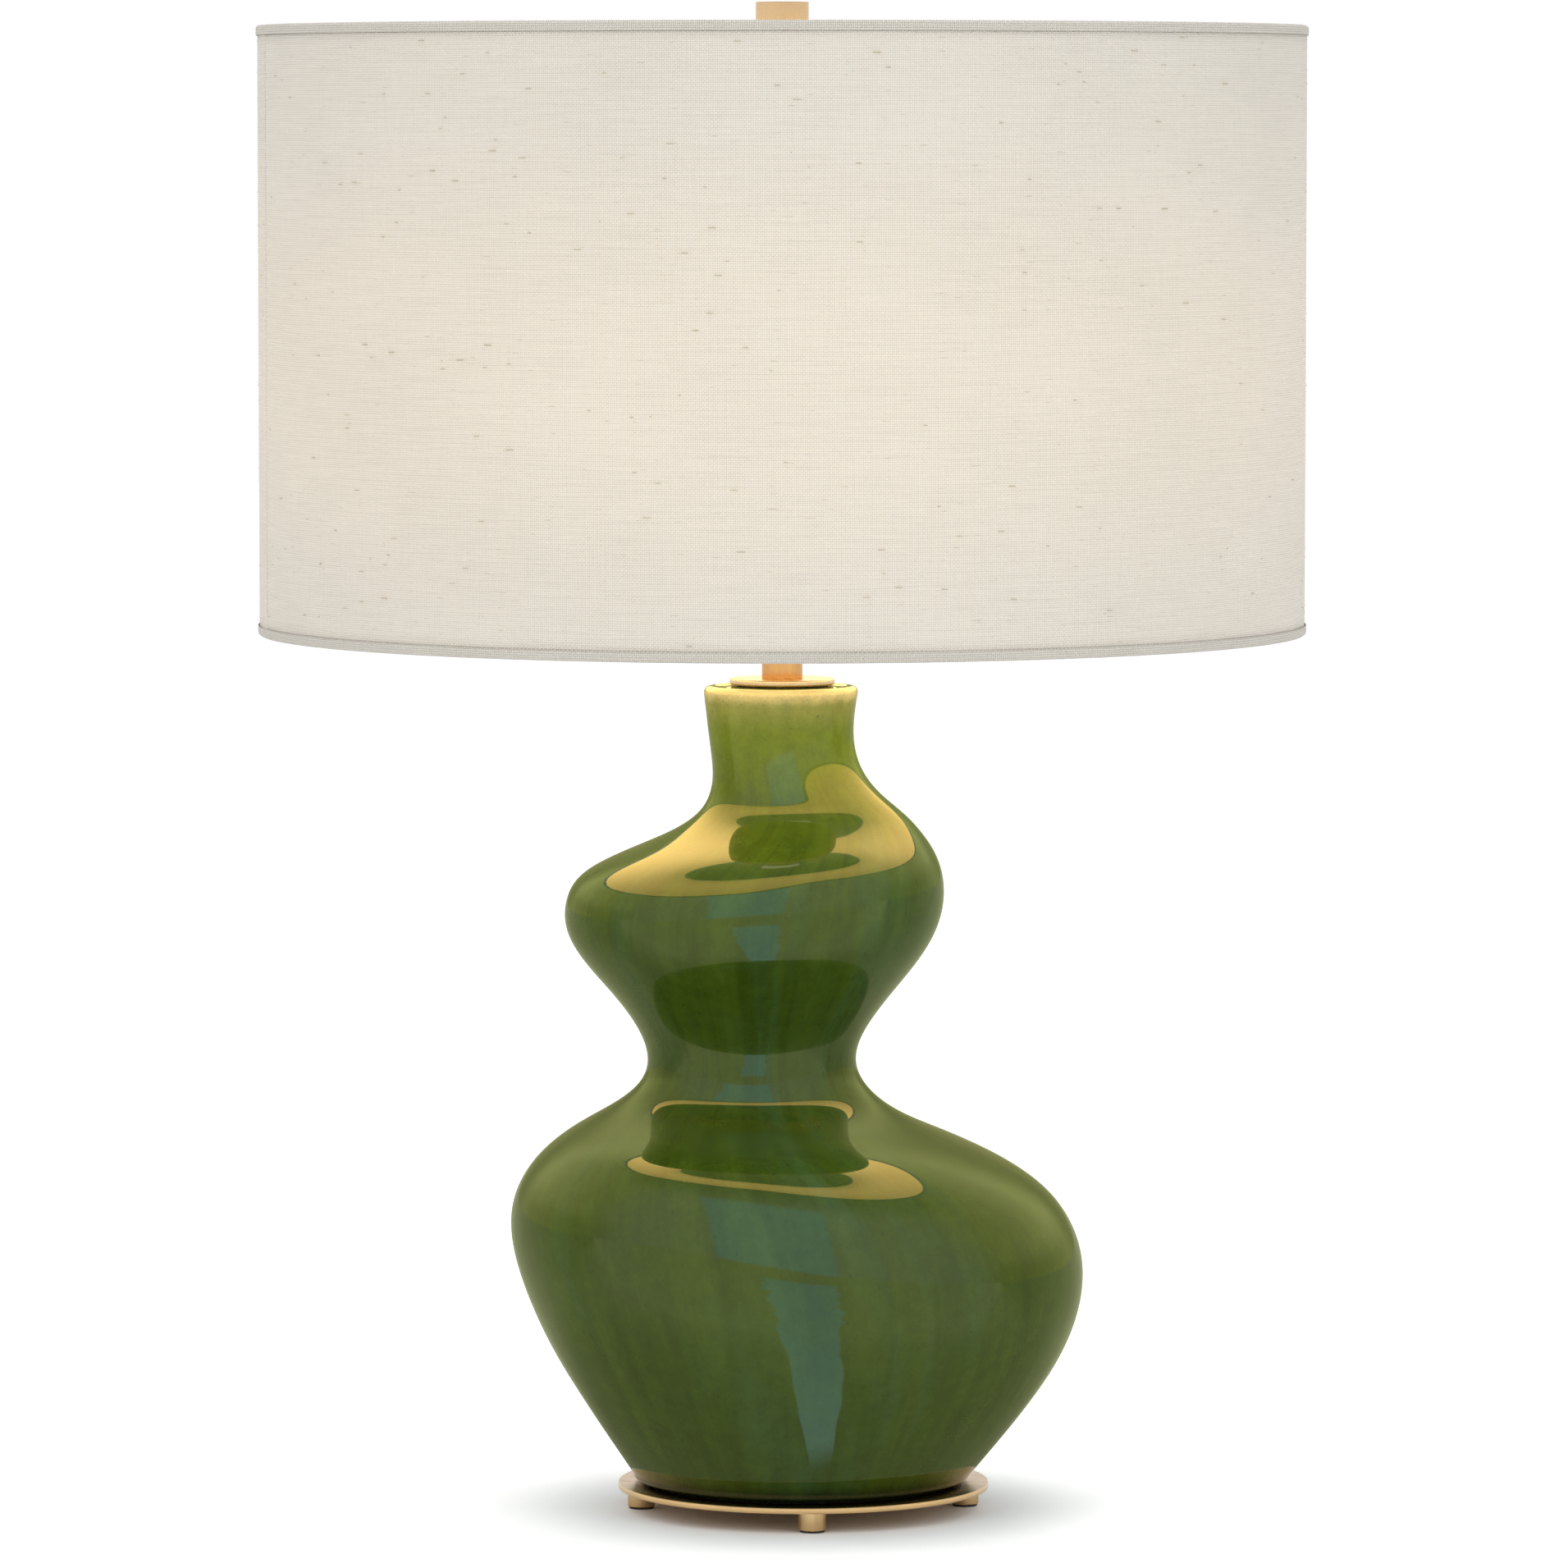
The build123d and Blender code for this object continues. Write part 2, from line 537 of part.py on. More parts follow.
def switch_knob():
    """Fluted knob with its stem: turned to switch the lamp."""
    knob = Cylinder(KNOB_RADIUS, KNOB_LENGTH, align=UP)
    knob = fillet(knob.edges().filter_by(GeomType.CIRCLE).sort_by(Axis.Z)[-1], KNOB_RADIUS / 4)
    for i in range(KNOB_FLUTE_COUNT):
        groove = Cylinder(KNOB_FLUTE_RADIUS, KNOB_LENGTH, align=UP)
        knob -= Rot(0, 0, 360 / KNOB_FLUTE_COUNT * i) * Pos(KNOB_RADIUS, 0, 0) * groove
    base = SHELL_RADIUS + SWITCH_COLLAR_LENGTH + KNOB_GAP
    knob = Pos(0, base, SWITCH_Z) * Rot(-90, 0, 0) * knob
    stem = Cylinder(SWITCH_STEM_RADIUS, base - STEM_INNER_END, align=UP)
    return knob + Pos(0, STEM_INNER_END, SWITCH_Z) * Rot(-90, 0, 0) * stem


def socket_screw_shell():
    """Threaded shell that takes the bulb's cap."""
    z = SOCKET_BODY_TOP
    return tube(SCREW_SHELL_RADIUS, SCREW_SHELL_RADIUS - SCREW_SHELL_WALL, SCREW_SHELL_HEIGHT, z)


def socket_contact():
    """Sprung centre contact: a strip bent up to the bulb's tip."""
    half = CONTACT_LENGTH / 2
    rise = CONTACT_RISE - CONTACT_THICKNESS
    outline = [
        (-half, 0), (-half / 3, 0), (half / 3, rise), (half, rise),
        (half, CONTACT_RISE), (half / 4, CONTACT_RISE), (-half / 2, CONTACT_THICKNESS),
        (-half, CONTACT_THICKNESS),
    ]
    profile = make_face(Polyline([(x, 0, SOCKET_BODY_TOP + z) for x, z in outline], close=True))
    strip = extrude(profile, CONTACT_WIDTH / 2, both=True, dir=(0, 1, 0))
    return Pos(-half / 2, 0, 0) * strip


def bulb_outline(radius, neck, low, drop=0.0):
    """Half outline of the envelope, from its neck round to the crown, as a closed face."""
    centre = BULB_CENTRE
    waist = centre - BULB_RADIUS * 1.15
    side = (radius * math.cos(math.radians(25)), 0, centre - radius * math.sin(math.radians(25)))
    crown = (0, 0, centre + radius)
    shoulder = (radius, 0, centre)
    lower = Line((neck, 0, low + drop), (neck, 0, waist - 4))
    swell = Spline((neck, 0, waist - 4), side, tangents=[(0, 0, 1), (math.sin(math.radians(25)), 0,
                                                                   math.cos(math.radians(25)))])
    cap = ThreePointArc(side, shoulder, crown)
    close_up = Line(crown, (0, 0, low + drop))
    foot_line = Line((0, 0, low + drop), (neck, 0, low + drop))
    return make_face(Wire([lower, swell, cap, close_up, foot_line]))


def bulb_glass():
    """Frosted envelope of the bulb, hollow, standing in its metal cap."""
    low = BULB_CAP_TOP - BULB_NECK_IN_CAP
    neck = BULB_CAP_RADIUS - BULB_CAP_WALL - TUBE_FIT_CLEARANCE
    outer = revolve(bulb_outline(BULB_RADIUS, neck, low), Axis.Z)
    inner = revolve(bulb_outline(BULB_RADIUS - BULB_GLASS_WALL, neck - BULB_GLASS_WALL, low,
                                 BULB_GLASS_WALL), Axis.Z)
    return outer - inner


def bulb_cap():
    """Screw cap of the bulb, with its insulator and tip closed in one turned form."""
    z0 = BULB_CAP_BOTTOM
    taper = BULB_CAP_HEIGHT / 4
    wall = BULB_CAP_WALL
    outline = [
        (BULB_TIP_RADIUS + wall, z0), (BULB_CAP_TAPER_RADIUS, z0),
        (BULB_CAP_RADIUS, z0 + taper), (BULB_CAP_RADIUS, z0 + BULB_CAP_HEIGHT),
        (BULB_CAP_RADIUS - wall, z0 + BULB_CAP_HEIGHT), (BULB_CAP_RADIUS - wall, z0 + taper),
        (BULB_TIP_RADIUS + wall, z0 + wall),
    ]
    return revolved(outline)


def bulb_tip():
    """Centre contact of the bulb in its insulator."""
    button = disc(BULB_TIP_RADIUS, BULB_TIP_HEIGHT + BULB_CAP_WALL, CONTACT_TOP)
    return round_rim(button, CONTACT_TOP, BULB_TIP_HEIGHT / 2)


def wire_ring(z):
    """Wire ring inside a rim of the shade."""
    return Pos(0, 0, z) * Torus(RING_RADIUS, RING_WIRE_RADIUS)


def spider_arm_path(angle):
    """Straight run out from the hub's edge, then a rise along the inside of the top ring."""
    ring_z = SHADE_TOP_HEIGHT - RING_INSET
    run_z = HUB_TOP - SPIDER_WIRE_RADIUS - ARM_BELOW_FINIAL
    across = RING_RADIUS - RING_WIRE_RADIUS - SPIDER_WIRE_RADIUS - WELD_GAP
    reach = [(HUB_RADIUS + WELD_GAP, run_z), (across, run_z), (across, ring_z + RING_WIRE_RADIUS)]
    turn = math.radians(angle)
    return [(r * math.cos(turn), r * math.sin(turn), z) for r, z in reach]


def spider_arm(angle):
    return wire_along(spider_arm_path(angle), [SPIDER_BEND], SPIDER_WIRE_RADIUS)


def spider_angles():
    return [SPIDER_FIRST_ANGLE + 360 / SPIDER_COUNT * i for i in range(SPIDER_COUNT)]


def spider_hub():
    hub = disc(HUB_RADIUS, HUB_THICKNESS, HUB_BOTTOM)
    return hub - disc(STUD_RADIUS + HUB_CLEARANCE, HUB_THICKNESS, HUB_BOTTOM)


def shade_layer(outer, thickness):
    """One cylindrical layer of the shade between its two folded rims."""
    inset = HEM_THICKNESS + LAYER_GAP
    return tube(outer, outer - thickness, SHADE_HEIGHT - 2 * inset, SHADE_BOTTOM_HEIGHT + inset)


def hem(rim_z, inwards):
    """Cloth trim folded over a rim and round its wire ring; inwards is +1 at the bottom rim."""
    inner = RING_RADIUS - RING_WIRE_RADIUS - RING_GAP
    wall = HEM_THICKNESS
    depth = inwards * HEM_HEIGHT
    outline = [
        (SHADE_RADIUS, rim_z), (SHADE_RADIUS, rim_z + depth),
        (SHADE_RADIUS - wall, rim_z + depth), (SHADE_RADIUS - wall, rim_z + inwards * wall),
        (inner, rim_z + inwards * wall), (inner, rim_z + depth),
        (inner - wall, rim_z + depth), (inner - wall, rim_z),
    ]
    return revolved(outline)


def top_hem():
    """Upper trim, with a notch where each spider arm comes through."""
    trim = hem(SHADE_TOP_HEIGHT, -1)
    for angle in spider_angles():
        notch = wire_along(spider_arm_path(angle), [SPIDER_BEND], SPIDER_WIRE_RADIUS + ARM_NOTCH)
        trim -= notch
    return trim


def finial():
    """Plain turned knob that screws on the stud and clamps the shade."""
    knob = disc(FINIAL_RADIUS, FINIAL_HEIGHT, FINIAL_BOTTOM)
    knob = fillet(knob.edges().filter_by(GeomType.CIRCLE), FINIAL_EDGE_ROUND)
    depth = STUD_LENGTH - HUB_THICKNESS + FINIAL_BORE_SPARE
    return knob - disc(STUD_RADIUS + FINIAL_CLEARANCE, depth, FINIAL_BOTTOM)


def all_parts():
    """Every sub-part by its name."""
    parts = {
        "base_plate": base_plate(),
        "base_gasket": base_gasket(),
        "rod_washer_bottom": tube(WASHER_RADIUS, ROD_RADIUS + ROD_HOLE_CLEARANCE, WASHER_THICKNESS,
                                  PLATE_CENTRE_HEIGHT - WASHER_THICKNESS),
        "rod_nut_bottom": hex_nut(BOTTOM_NUT_THICKNESS,
                                  PLATE_CENTRE_HEIGHT - WASHER_THICKNESS - BOTTOM_NUT_THICKNESS),
        "cord_bushing": cord_bushing(),
        "ceramic_body": ceramic_body(),
        "threaded_rod": tube(ROD_RADIUS, ROD_BORE_RADIUS, ROD_TOP - ROD_BOTTOM, ROD_BOTTOM),
        "neck_gasket": tube(NECK_GASKET_RADIUS, ROD_RADIUS + ROD_HOLE_CLEARANCE,
                            NECK_GASKET_THICKNESS, BODY_TOP),
        "neck_disc": neck_disc(),
        "neck_tube": tube(TUBE_RADIUS, TUBE_RADIUS - TUBE_WALL, TUBE_LENGTH, TUBE_BOTTOM),
        "tube_cap": tube_cap(),
        "harp_saddle": harp_saddle(),
        "rod_nut_top": hex_nut(TOP_NUT_THICKNESS, SADDLE_TOP),
        "harp": harp(),
        "harp_stud": harp_stud(),
        "harp_ferrule_left": harp_ferrule(-1),
        "harp_ferrule_right": harp_ferrule(1),
        "socket_cap": socket_cap(),
        "socket_cap_screw": socket_cap_screw(),
        "socket_shell": socket_shell(),
        "socket_liner": socket_liner(),
        "socket_body": socket_body(),
        "socket_screw_shell": socket_screw_shell(),
        "socket_contact": socket_contact(),
        "switch_collar": switch_collar(),
        "switch_knob": switch_knob(),
        "bulb_glass": bulb_glass(),
        "bulb_cap": bulb_cap(),
        "bulb_tip": bulb_tip(),
        "shade_top_ring": wire_ring(SHADE_TOP_HEIGHT - RING_INSET),
        "shade_bottom_ring": wire_ring(SHADE_BOTTOM_HEIGHT + RING_INSET),
        "spider_hub": spider_hub(),
        "shade_panel": shade_layer(PANEL_OUTER, PANEL_THICKNESS),
        "linen_cover": shade_layer(COVER_OUTER, COVER_THICKNESS),
        "top_hem": top_hem(),
        "bottom_hem": hem(SHADE_BOTTOM_HEIGHT, 1),
        "finial": finial(),
    }
    for number, (x, y) in enumerate(foot_places(), start=1):
        parts[f"foot_{number}"] = foot(x, y)
        parts[f"foot_pad_{number}"] = disc(FOOT_RADIUS - FELT_INSET, FELT_THICKNESS, 0, x, y)
    for number, angle in enumerate(spider_angles(), start=1):
        parts[f"spider_arm_{number}"] = spider_arm(angle)
    return parts


def main():
    os.makedirs("parts", exist_ok=True)
    for name, shape in all_parts().items():
        export_step(shape, f"parts/{name}.step")


if __name__ == "__main__":
    main()
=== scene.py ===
import math
from collections import namedtuple
from functools import cache

import bmesh
import bpy
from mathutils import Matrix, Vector, noise


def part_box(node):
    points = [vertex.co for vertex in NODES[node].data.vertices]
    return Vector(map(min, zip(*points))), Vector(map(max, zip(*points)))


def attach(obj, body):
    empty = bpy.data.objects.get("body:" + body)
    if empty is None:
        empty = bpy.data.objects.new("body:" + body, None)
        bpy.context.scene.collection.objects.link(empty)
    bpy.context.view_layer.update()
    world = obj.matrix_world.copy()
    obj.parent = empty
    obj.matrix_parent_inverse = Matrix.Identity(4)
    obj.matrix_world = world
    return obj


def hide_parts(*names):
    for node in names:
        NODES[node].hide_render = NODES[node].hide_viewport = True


bl_info = {
    "name": "Double Gourd Lamp",
    "version": (1, 0, 0),
    "blender": (4, 5, 0),
    "location": "View3D > Sidebar > Lamp",
    "description": "Finishes for a leaning double gourd table lamp with a linen drum shade",
    "category": "Add Mesh",
}

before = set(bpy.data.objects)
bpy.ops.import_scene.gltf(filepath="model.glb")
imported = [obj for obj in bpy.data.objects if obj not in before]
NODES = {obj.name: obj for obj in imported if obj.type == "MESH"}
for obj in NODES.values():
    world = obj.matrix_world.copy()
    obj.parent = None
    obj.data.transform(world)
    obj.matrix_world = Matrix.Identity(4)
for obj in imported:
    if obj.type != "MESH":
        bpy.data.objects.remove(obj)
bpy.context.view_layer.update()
MM = 0.001


def linear(red, green, blue):
    """A colour written in 0-255 display values, as the linear colour that shaders want."""
    def channel(value):
        value /= 255
        return value / 12.92 if value <= 0.04045 else ((value + 0.055) / 1.055) ** 2.4
    return channel(red), channel(green), channel(blue), 1.0


def tinted(colour, red, green=None, blue=None):
    """The colour times one factor, or times a factor for each channel."""
    factors = (red, red, red) if green is None else (red, green, blue)
    return tuple(c * factor for c, factor in zip(colour, factors)) + (1.0,)


BLACK = (0.0, 0.0, 0.0, 1.0)
WHITE = (1.0, 1.0, 1.0, 1.0)

Extent = namedtuple("Extent", "low high middle radius")


def extent(node):
    """Corners of a CAD node's box, its middle, and its radius in X."""
    low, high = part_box(node)
    return Extent(low, high, (low + high) / 2, (high.x - low.x) / 2)


# ---------------------------------------------------------------- sizes

# the leaning body, in millimetres: height, centre in X, half width in X and half depth in Y
BODY_STATIONS = [
    (13.0, 9.0, 75.5, 75.5), (45.0, 11.5, 99.5, 99.5), (80.0, 12.0, 121.0, 121.0),
    (110.0, 9.0, 130.5, 132.0), (135.0, 3.5, 129.0, 132.0), (152.0, -1.8, 119.3, 127.5),
    (165.0, -7.8, 104.0, 119.5), (173.0, -12.0, 90.6, 106.5), (181.0, -15.0, 75.5, 77.5),
    (189.0, -14.9, 62.0, 55.5), (197.0, -14.1, 52.9, 49.3), (206.0, -14.0, 48.5, 48.5),
    (222.0, -14.0, 52.0, 52.0), (242.0, -14.0, 66.5, 66.5), (264.0, -14.5, 83.0, 84.0),
    (284.0, -12.5, 87.0, 88.5), (297.0, -8.0, 81.4, 85.0), (306.0, -0.7, 70.5, 76.0),
    (314.0, 5.8, 58.6, 57.0), (322.0, 8.5, 48.6, 41.3), (332.0, 6.1, 39.5, 36.0),
    (352.0, 0.5, 33.5, 33.5), (382.0, -0.5, 36.0, 36.0),
]

# everything below is in metres
BODY_FLOOR = 0.007           # thickness of the ceramic under and over the cavity
BODY_CROWN = 0.008
CAVITY_RINGS = 46

# heights between which the glaze goes over from one look to the next
NECK_GLAZE_AND_LAMPLIGHT = (0.312, 0.372)
LIP_FADE = (0.362, 0.379)
LIP_BREAK_AND_LAMPLIGHT = (0.3755, 0.3835)
FOOT_DARKENING = (0.0250, 0.0165)
DISH_HEIGHTS = (0.376, 0.378)
DISH_RADII = (0.0325, 0.0312)    # and the distances from the rod's axis for the dish

ROD_AXIS = (0.0, 0.0)
DISC_HOLE = 0.0052
TUBE_WALL = 0.0012
FERRULE_WALL = 0.0009
HARP_LEG = 0.0288            # half the distance between the harp's legs
HARP_STRAIGHT = 0.033        # how far the legs run up before they spread
HARP_SHOULDER = (0.057, 0.076)   # out from the axis and up from the foot
HARP_CROWN = 0.043           # half the width where the wire turns in to the stud
HARP_BENDS = (0.022, 0.060, 0.032)
BULB_NECK = 0.0125
BULB_NECK_BELOW = 0.0385     # the envelope meets its neck this far below the globe's centre
SHADE_SEGMENTS = 288
LINING_WALL = 0.0008
HEM_WALL = 0.00035
RING_CLEARANCE = 0.0005      # between the folded hem and its wire ring
ARM_CLEARANCE = 0.00008      # between a spider arm and the top ring
ARM_BEND = 0.006
FINIAL_BORE = (0.0033, 0.0165)   # radius and depth
STUD_RADIUS = 0.0031
FINE_PITCH = 0.00094         # 27 threads to the inch, on rod and stud
CAP_PITCH = 0.0036           # 7 threads to the inch, on the bulb's cap

BULB_LIGHT_HEIGHT = 0.530
LINEN_GLOW_REACH = 0.105     # how far up and down the bulb's light spreads on each sheet
LINING_GLOW_REACH = 0.17

FLOOR_REACH = 12.0
CONTACT_REACH = 0.22         # how far the lamp's soft shadow spreads over the floor
FLOOR_LIFT = (0.92, 0.97, 1.01, 1.0)
BEAM_SPREAD = 0.26           # the window's light on the table: its growth per metre,
BEAM_HALF_WIDTH = 0.019      # half its width where it begins, and the distances in front
BEAM_STARTS = (0.09, 0.11)   # of the lamp over which it comes and goes
BEAM_ENDS = (1.25, 0.95)
WINDOW_SIDE = (0.42, 0.38)   # the window in front, by direction: edges, head and sill
WINDOW_HEAD = (0.74, 0.66)
WINDOW_SILL = (-0.02, 0.03)
CEILING = (0.12, 0.13, 0.12, 1.0)
LIGHT_AIM = Vector((0, 0, 0.35))


# ---------------------------------------------------------------- settings

def number_setting(label, note, default, **kind):
    return bpy.props.FloatProperty(name=label, description=note, default=default, **kind)


def length_setting(label, note, default):
    return number_setting(label, note, default, unit="LENGTH")


def angle_setting(label, note, degrees):
    return number_setting(label, note, math.radians(degrees), subtype="ANGLE")


def count_setting(label, note, default):
    return bpy.props.IntProperty(name=label, description=note, default=default)


def light_setting(label, note, *rgb):
    """Colour of a light, whose channels may pass 1."""
    return bpy.props.FloatVectorProperty(name=label, description=note, default=(*rgb, 1.0),
                                         size=4, subtype="COLOR")


def colour_setting(label, note, *rgb):
    """Colour written in display values."""
    return light_setting(label, note, *linear(*rgb)[:3])


class LampBodySettings(bpy.types.PropertyGroup):
    wall: length_setting("Wall", "Thickness of the ceramic", 0.006)
    lip_round: length_setting("Lip round", "Rounding of the lip", 0.0034)
    lip_dish: length_setting("Lip dish", "Depth of the shallow ring inside the lip", 0.0007)
    foot_round: length_setting("Foot round", "Rounding of the foot", 0.0035)
    rod_hole: length_setting("Rod hole", "Radius of the hole for the rod", 0.0065)
    unevenness: length_setting(
        "Unevenness", "How far the thrown wall wanders from its true form", 0.0003)
    wall_rings: count_setting("Wall rings", "Rings of faces down the outside", 300)
    segments: count_setting("Segments", "Faces round the body", 240)
    deep_glaze: colour_setting("Deep glaze", "Colour where the glaze is thick", 48, 66, 10)
    green_glaze: colour_setting("Green glaze", "Main colour of the glaze", 62, 82, 18)
    blue_glaze: colour_setting("Blue glaze", "Cooler veil that runs down the wall", 50, 84, 54)
    # the neck and thin glaze colours are partly the glaze's own and partly painted lamplight from
    # the shade
    neck_glaze_lamplit: colour_setting("Neck glaze, lamplit", "Lighter, yellower green up the neck", 101, 117, 18)
    thin_glaze_lamplit: colour_setting(
        "Thin glaze, lamplit", "Colour where the glaze breaks over an edge, with painted lamplight", 206, 186, 124)
    # the body darkens towards its foot
    foot_dark_glaze: colour_setting(
        "Foot dark glaze", "Colour that the glaze darkens to towards the foot", 14, 22, 14)
    dish_glaze: colour_setting(
        "Dish glaze", "Colour in the shallow ring inside the lip", 104, 112, 40)
    speck: colour_setting("Speck", "Colour of the dark specks", 36, 40, 14)
    streak_width: length_setting("Streak width", "Width of one run of glaze", 0.012)


class LampShadeSettings(bpy.types.PropertyGroup):
    thread_pitch: length_setting("Thread pitch", "Distance between threads", 0.00098)
    thickness: length_setting("Cloth thickness", "Thickness of the linen", 0.0007)
    overlap: length_setting("Lap", "Width of the glued lap seam", 0.012)
    seam_angle: angle_setting("Seam angle", "Where the lap seam lies, from +X", 193.5)
    hem_round: length_setting("Rim round", "Rounding of the folded rim", 0.0016)
    linen: colour_setting("Linen", "Colour of the cloth", 243, 237, 226)
    hem_linen: colour_setting("Hem linen", "Colour of the folded trim", 238, 233, 222)
    fleck: colour_setting("Fleck", "Colour of the darker fibres", 176, 160, 134)
    lining: colour_setting("Lining", "Colour of the sheet inside", 240, 232, 214)
    lamplight: colour_setting("Lamplight", "Colour of the light inside the shade", 255, 212, 132)
    # glow and the inner lights are emission that paints the bulb's light on the cloth and lining;
    # the mirrored one is a painted reflection in the glaze
    glow: number_setting("Glow", "Light that comes through the cloth at bulb height", 0.10)
    inner_light: number_setting("Inner light", "Brightness of the lit lining", 1.1)
    inner_light_shown: number_setting(
        "Inner light shown", "Brightness of the lining to the eye", 0.78)
    inner_light_mirrored: number_setting(
        "Inner light mirrored", "Brightness of the lining in the glaze", 4.9)
    neps: count_setting("Neps", "Small thickened fibres on the cloth", 416)


class LampMetalSettings(bpy.types.PropertyGroup):
    brass: colour_setting("Satin brass", "Colour of the brushed brass", 206, 172, 122)
    worn_brass: colour_setting("Worn brass", "Colour where edges are rubbed bright", 236, 208, 160)
    socket_brass: colour_setting("Socket brass", "Colour of the socket", 214, 176, 98)
    steel: colour_setting("Steel", "Colour of the plated hardware", 190, 190, 192)
    edge_round: length_setting("Edge round", "Rounding of turned edges", 0.0004)


class LampStudioSettings(bpy.types.PropertyGroup):
    focal_pixels: number_setting(
        "Focal length in pixels", "Of a photograph 1911 pixels wide", 11000.0)
    image_width: number_setting("Image width", "Width of the photograph in pixels", 1911.0)
    distance: length_setting("Distance", "Camera to lamp axis", 4.156)
    camera_height: length_setting("Camera height", "Above the table", 0.6408)
    camera_side: length_setting("Camera side", "Sideways from the lamp axis", 0.00083)
    pitch: angle_setting("Pitch", "How far the camera looks down", 4.188)
    key_power: number_setting("Key power", "Watts of a softbox, before its own share", 26.0)
    fill: number_setting("Fill", "Light from all round", 0.62)
    gloss_front: number_setting(
        "Gloss front", "Brightness of the room in front, seen in gloss", 1.05)
    gloss_side: light_setting(
        "Gloss side", "Warm, dim room at the sides, seen in gloss", 0.60, 0.59, 0.24)
    gloss_table: light_setting(
        "Gloss table", "Colour of the table seen in the glaze", 1.0, 1.03, 0.60)
    window: light_setting(
        "Window", "Cool light of a window in front, seen in gloss", 0.85, 1.45, 1.38)


# ---------------------------------------------------------------- curves and outlines

def second_slopes(xs, ys):
    """Second derivatives of the natural cubic spline through the points."""
    count = len(xs)
    upper = [0.0] * count
    rest = [0.0] * count
    for i in range(1, count - 1):
        before = xs[i] - xs[i - 1]
        after = xs[i + 1] - xs[i]
        bend = 6 * ((ys[i + 1] - ys[i]) / after - (ys[i] - ys[i - 1]) / before)
        pivot = 2 * (before + after) - before * upper[i - 1]
        upper[i] = after / pivot
        rest[i] = (bend - before * rest[i - 1]) / pivot
    slopes = [0.0] * count
    for i in range(count - 2, 0, -1):
        slopes[i] = rest[i] - upper[i] * slopes[i + 1]
    return slopes


def smooth(xs, ys):
    """Function that runs smoothly through the points."""
    slopes = second_slopes(xs, ys)

    def value(x):
        i = max(k for k in range(len(xs) - 1) if k == 0 or xs[k] <= x)
        span = xs[i + 1] - xs[i]
        b = (x - xs[i]) / span
        a = 1 - b
        curve = (a ** 3 - a) * slopes[i] + (b ** 3 - b) * slopes[i + 1]
        return a * ys[i] + b * ys[i + 1] + curve * span * span / 6

    return value


def evenly(first, last, count):
    return [first + (last - first) * i / (count - 1) for i in range(count)]


def rounded(corners, steps=6, closed=False):
    """Points along straight runs whose corners are arcs. A corner is (point, radius)."""
    points = []
    count = len(corners)
    for i, (corner, radius) in enumerate(corners):
        corner = Vector(corner)
        if radius == 0 or (not closed and i in (0, count - 1)):
            points.append(corner)
            continue
        back = (Vector(corners[i - 1][0]) - corner).normalized()
        ahead = (Vector(corners[(i + 1) % count][0]) - corner).normalized()
        half = back.angle(ahead) / 2
        run = radius / math.tan(half)
        centre = corner + (back + ahead).normalized() * (radius / math.sin(half))
        start = corner + back * run - centre
        end = corner + ahead * run - centre
        for k in range(steps + 1):
            spoke = start.slerp(end, k / steps)
            points.append(centre + spoke * radius / spoke.length)
    return points


def outline(corners, closed=False):
    """Rounded (r, z) outline. A corner is (r, z) or (r, z, radius)."""
    full = [((c[0], 0, c[1]), c[2] if len(c) > 2 else 0) for c in corners]
    return [(p.x, p.z) for p in rounded(full, 5, closed)]


def travelled(points):
    """Distance along a line of (r, z) points, from the first to each of them."""
    total = [0.0]
    for before, after in zip(points, points[1:]):
        total.append(total[-1] + math.hypot(after[0] - before[0], after[1] - before[1]))
    return total


# ---------------------------------------------------------------- meshes

def new_piece(name, mesh):
    piece = bpy.data.objects.new(name, mesh)
    bpy.context.scene.collection.objects.link(piece)
    return piece


def smooth_mesh(name, vertices, faces):
    """Mesh whose faces are all shaded smooth."""
    mesh = bpy.data.meshes.new(name)
    mesh.from_pydata(vertices, [], faces)
    mesh.polygons.foreach_set("use_smooth", [True] * len(mesh.polygons))
    mesh.validate()
    mesh.update()
    return mesh


def keep_vectors(mesh, name, vectors):
    """Store one vector for each vertex as an attribute that a material can read."""
    attribute = mesh.attributes.new(name, "FLOAT_VECTOR", "POINT")
    attribute.data.foreach_set("vector", [number for vector in vectors for number in vector])


def circle(count):
    """Cosine and sine of each of count even turns."""
    turns = [2 * math.pi * j / count for j in range(count)]
    return [(math.cos(turn), math.sin(turn)) for turn in turns]


def ring_mesh(name, segments, closed, rings):
    """Mesh through level rings, top to bottom on the outside.

    A ring is (centre x, centre y, half width in X, half depth in Y, z), and one without width
    is a single point."""
    pointed = [ring[2] < 1e-7 for ring in rings]
    vertices, starts, faces = [], [], []
    for (x, y, wide, deep, z), point in zip(rings, pointed):
        starts.append(len(vertices))
        vertices += [(x, y, z)] if point else [(x + wide * across, y + deep * along, z)
                                               for across, along in circle(segments)]
    for a in range(len(rings) if closed else len(rings) - 1):
        b = (a + 1) % len(rings)
        for j in range(segments):
            k = (j + 1) % segments
            if pointed[a]:
                faces.append((starts[a], starts[b] + j, starts[b] + k))
            elif pointed[b]:
                faces.append((starts[a] + j, starts[b], starts[a] + k))
            else:
                faces.append((starts[a] + j, starts[b] + j, starts[b] + k, starts[a] + k))
    return smooth_mesh(name, vertices, faces)


def lathe(name, points, x=0.0, y=0.0, segments=96, closed=False):
    """Turned piece from (r, z) points that run from the top, down the outside and back in."""
    rings = [(x, y, r, r, z) for r, z in points]
    return new_piece(name, ring_mesh(name, segments, closed, rings))


def sharpen(piece, degrees=38):
    """Keep crisp edges crisp on an otherwise smooth piece."""
    mesh = bmesh.new()
    mesh.from_mesh(piece.data)
    for edge in mesh.edges:
        if len(edge.link_faces) == 2 and edge.calc_face_angle(0) > math.radians(degrees):
            edge.smooth = False
    mesh.to_mesh(piece.data)
    mesh.free()


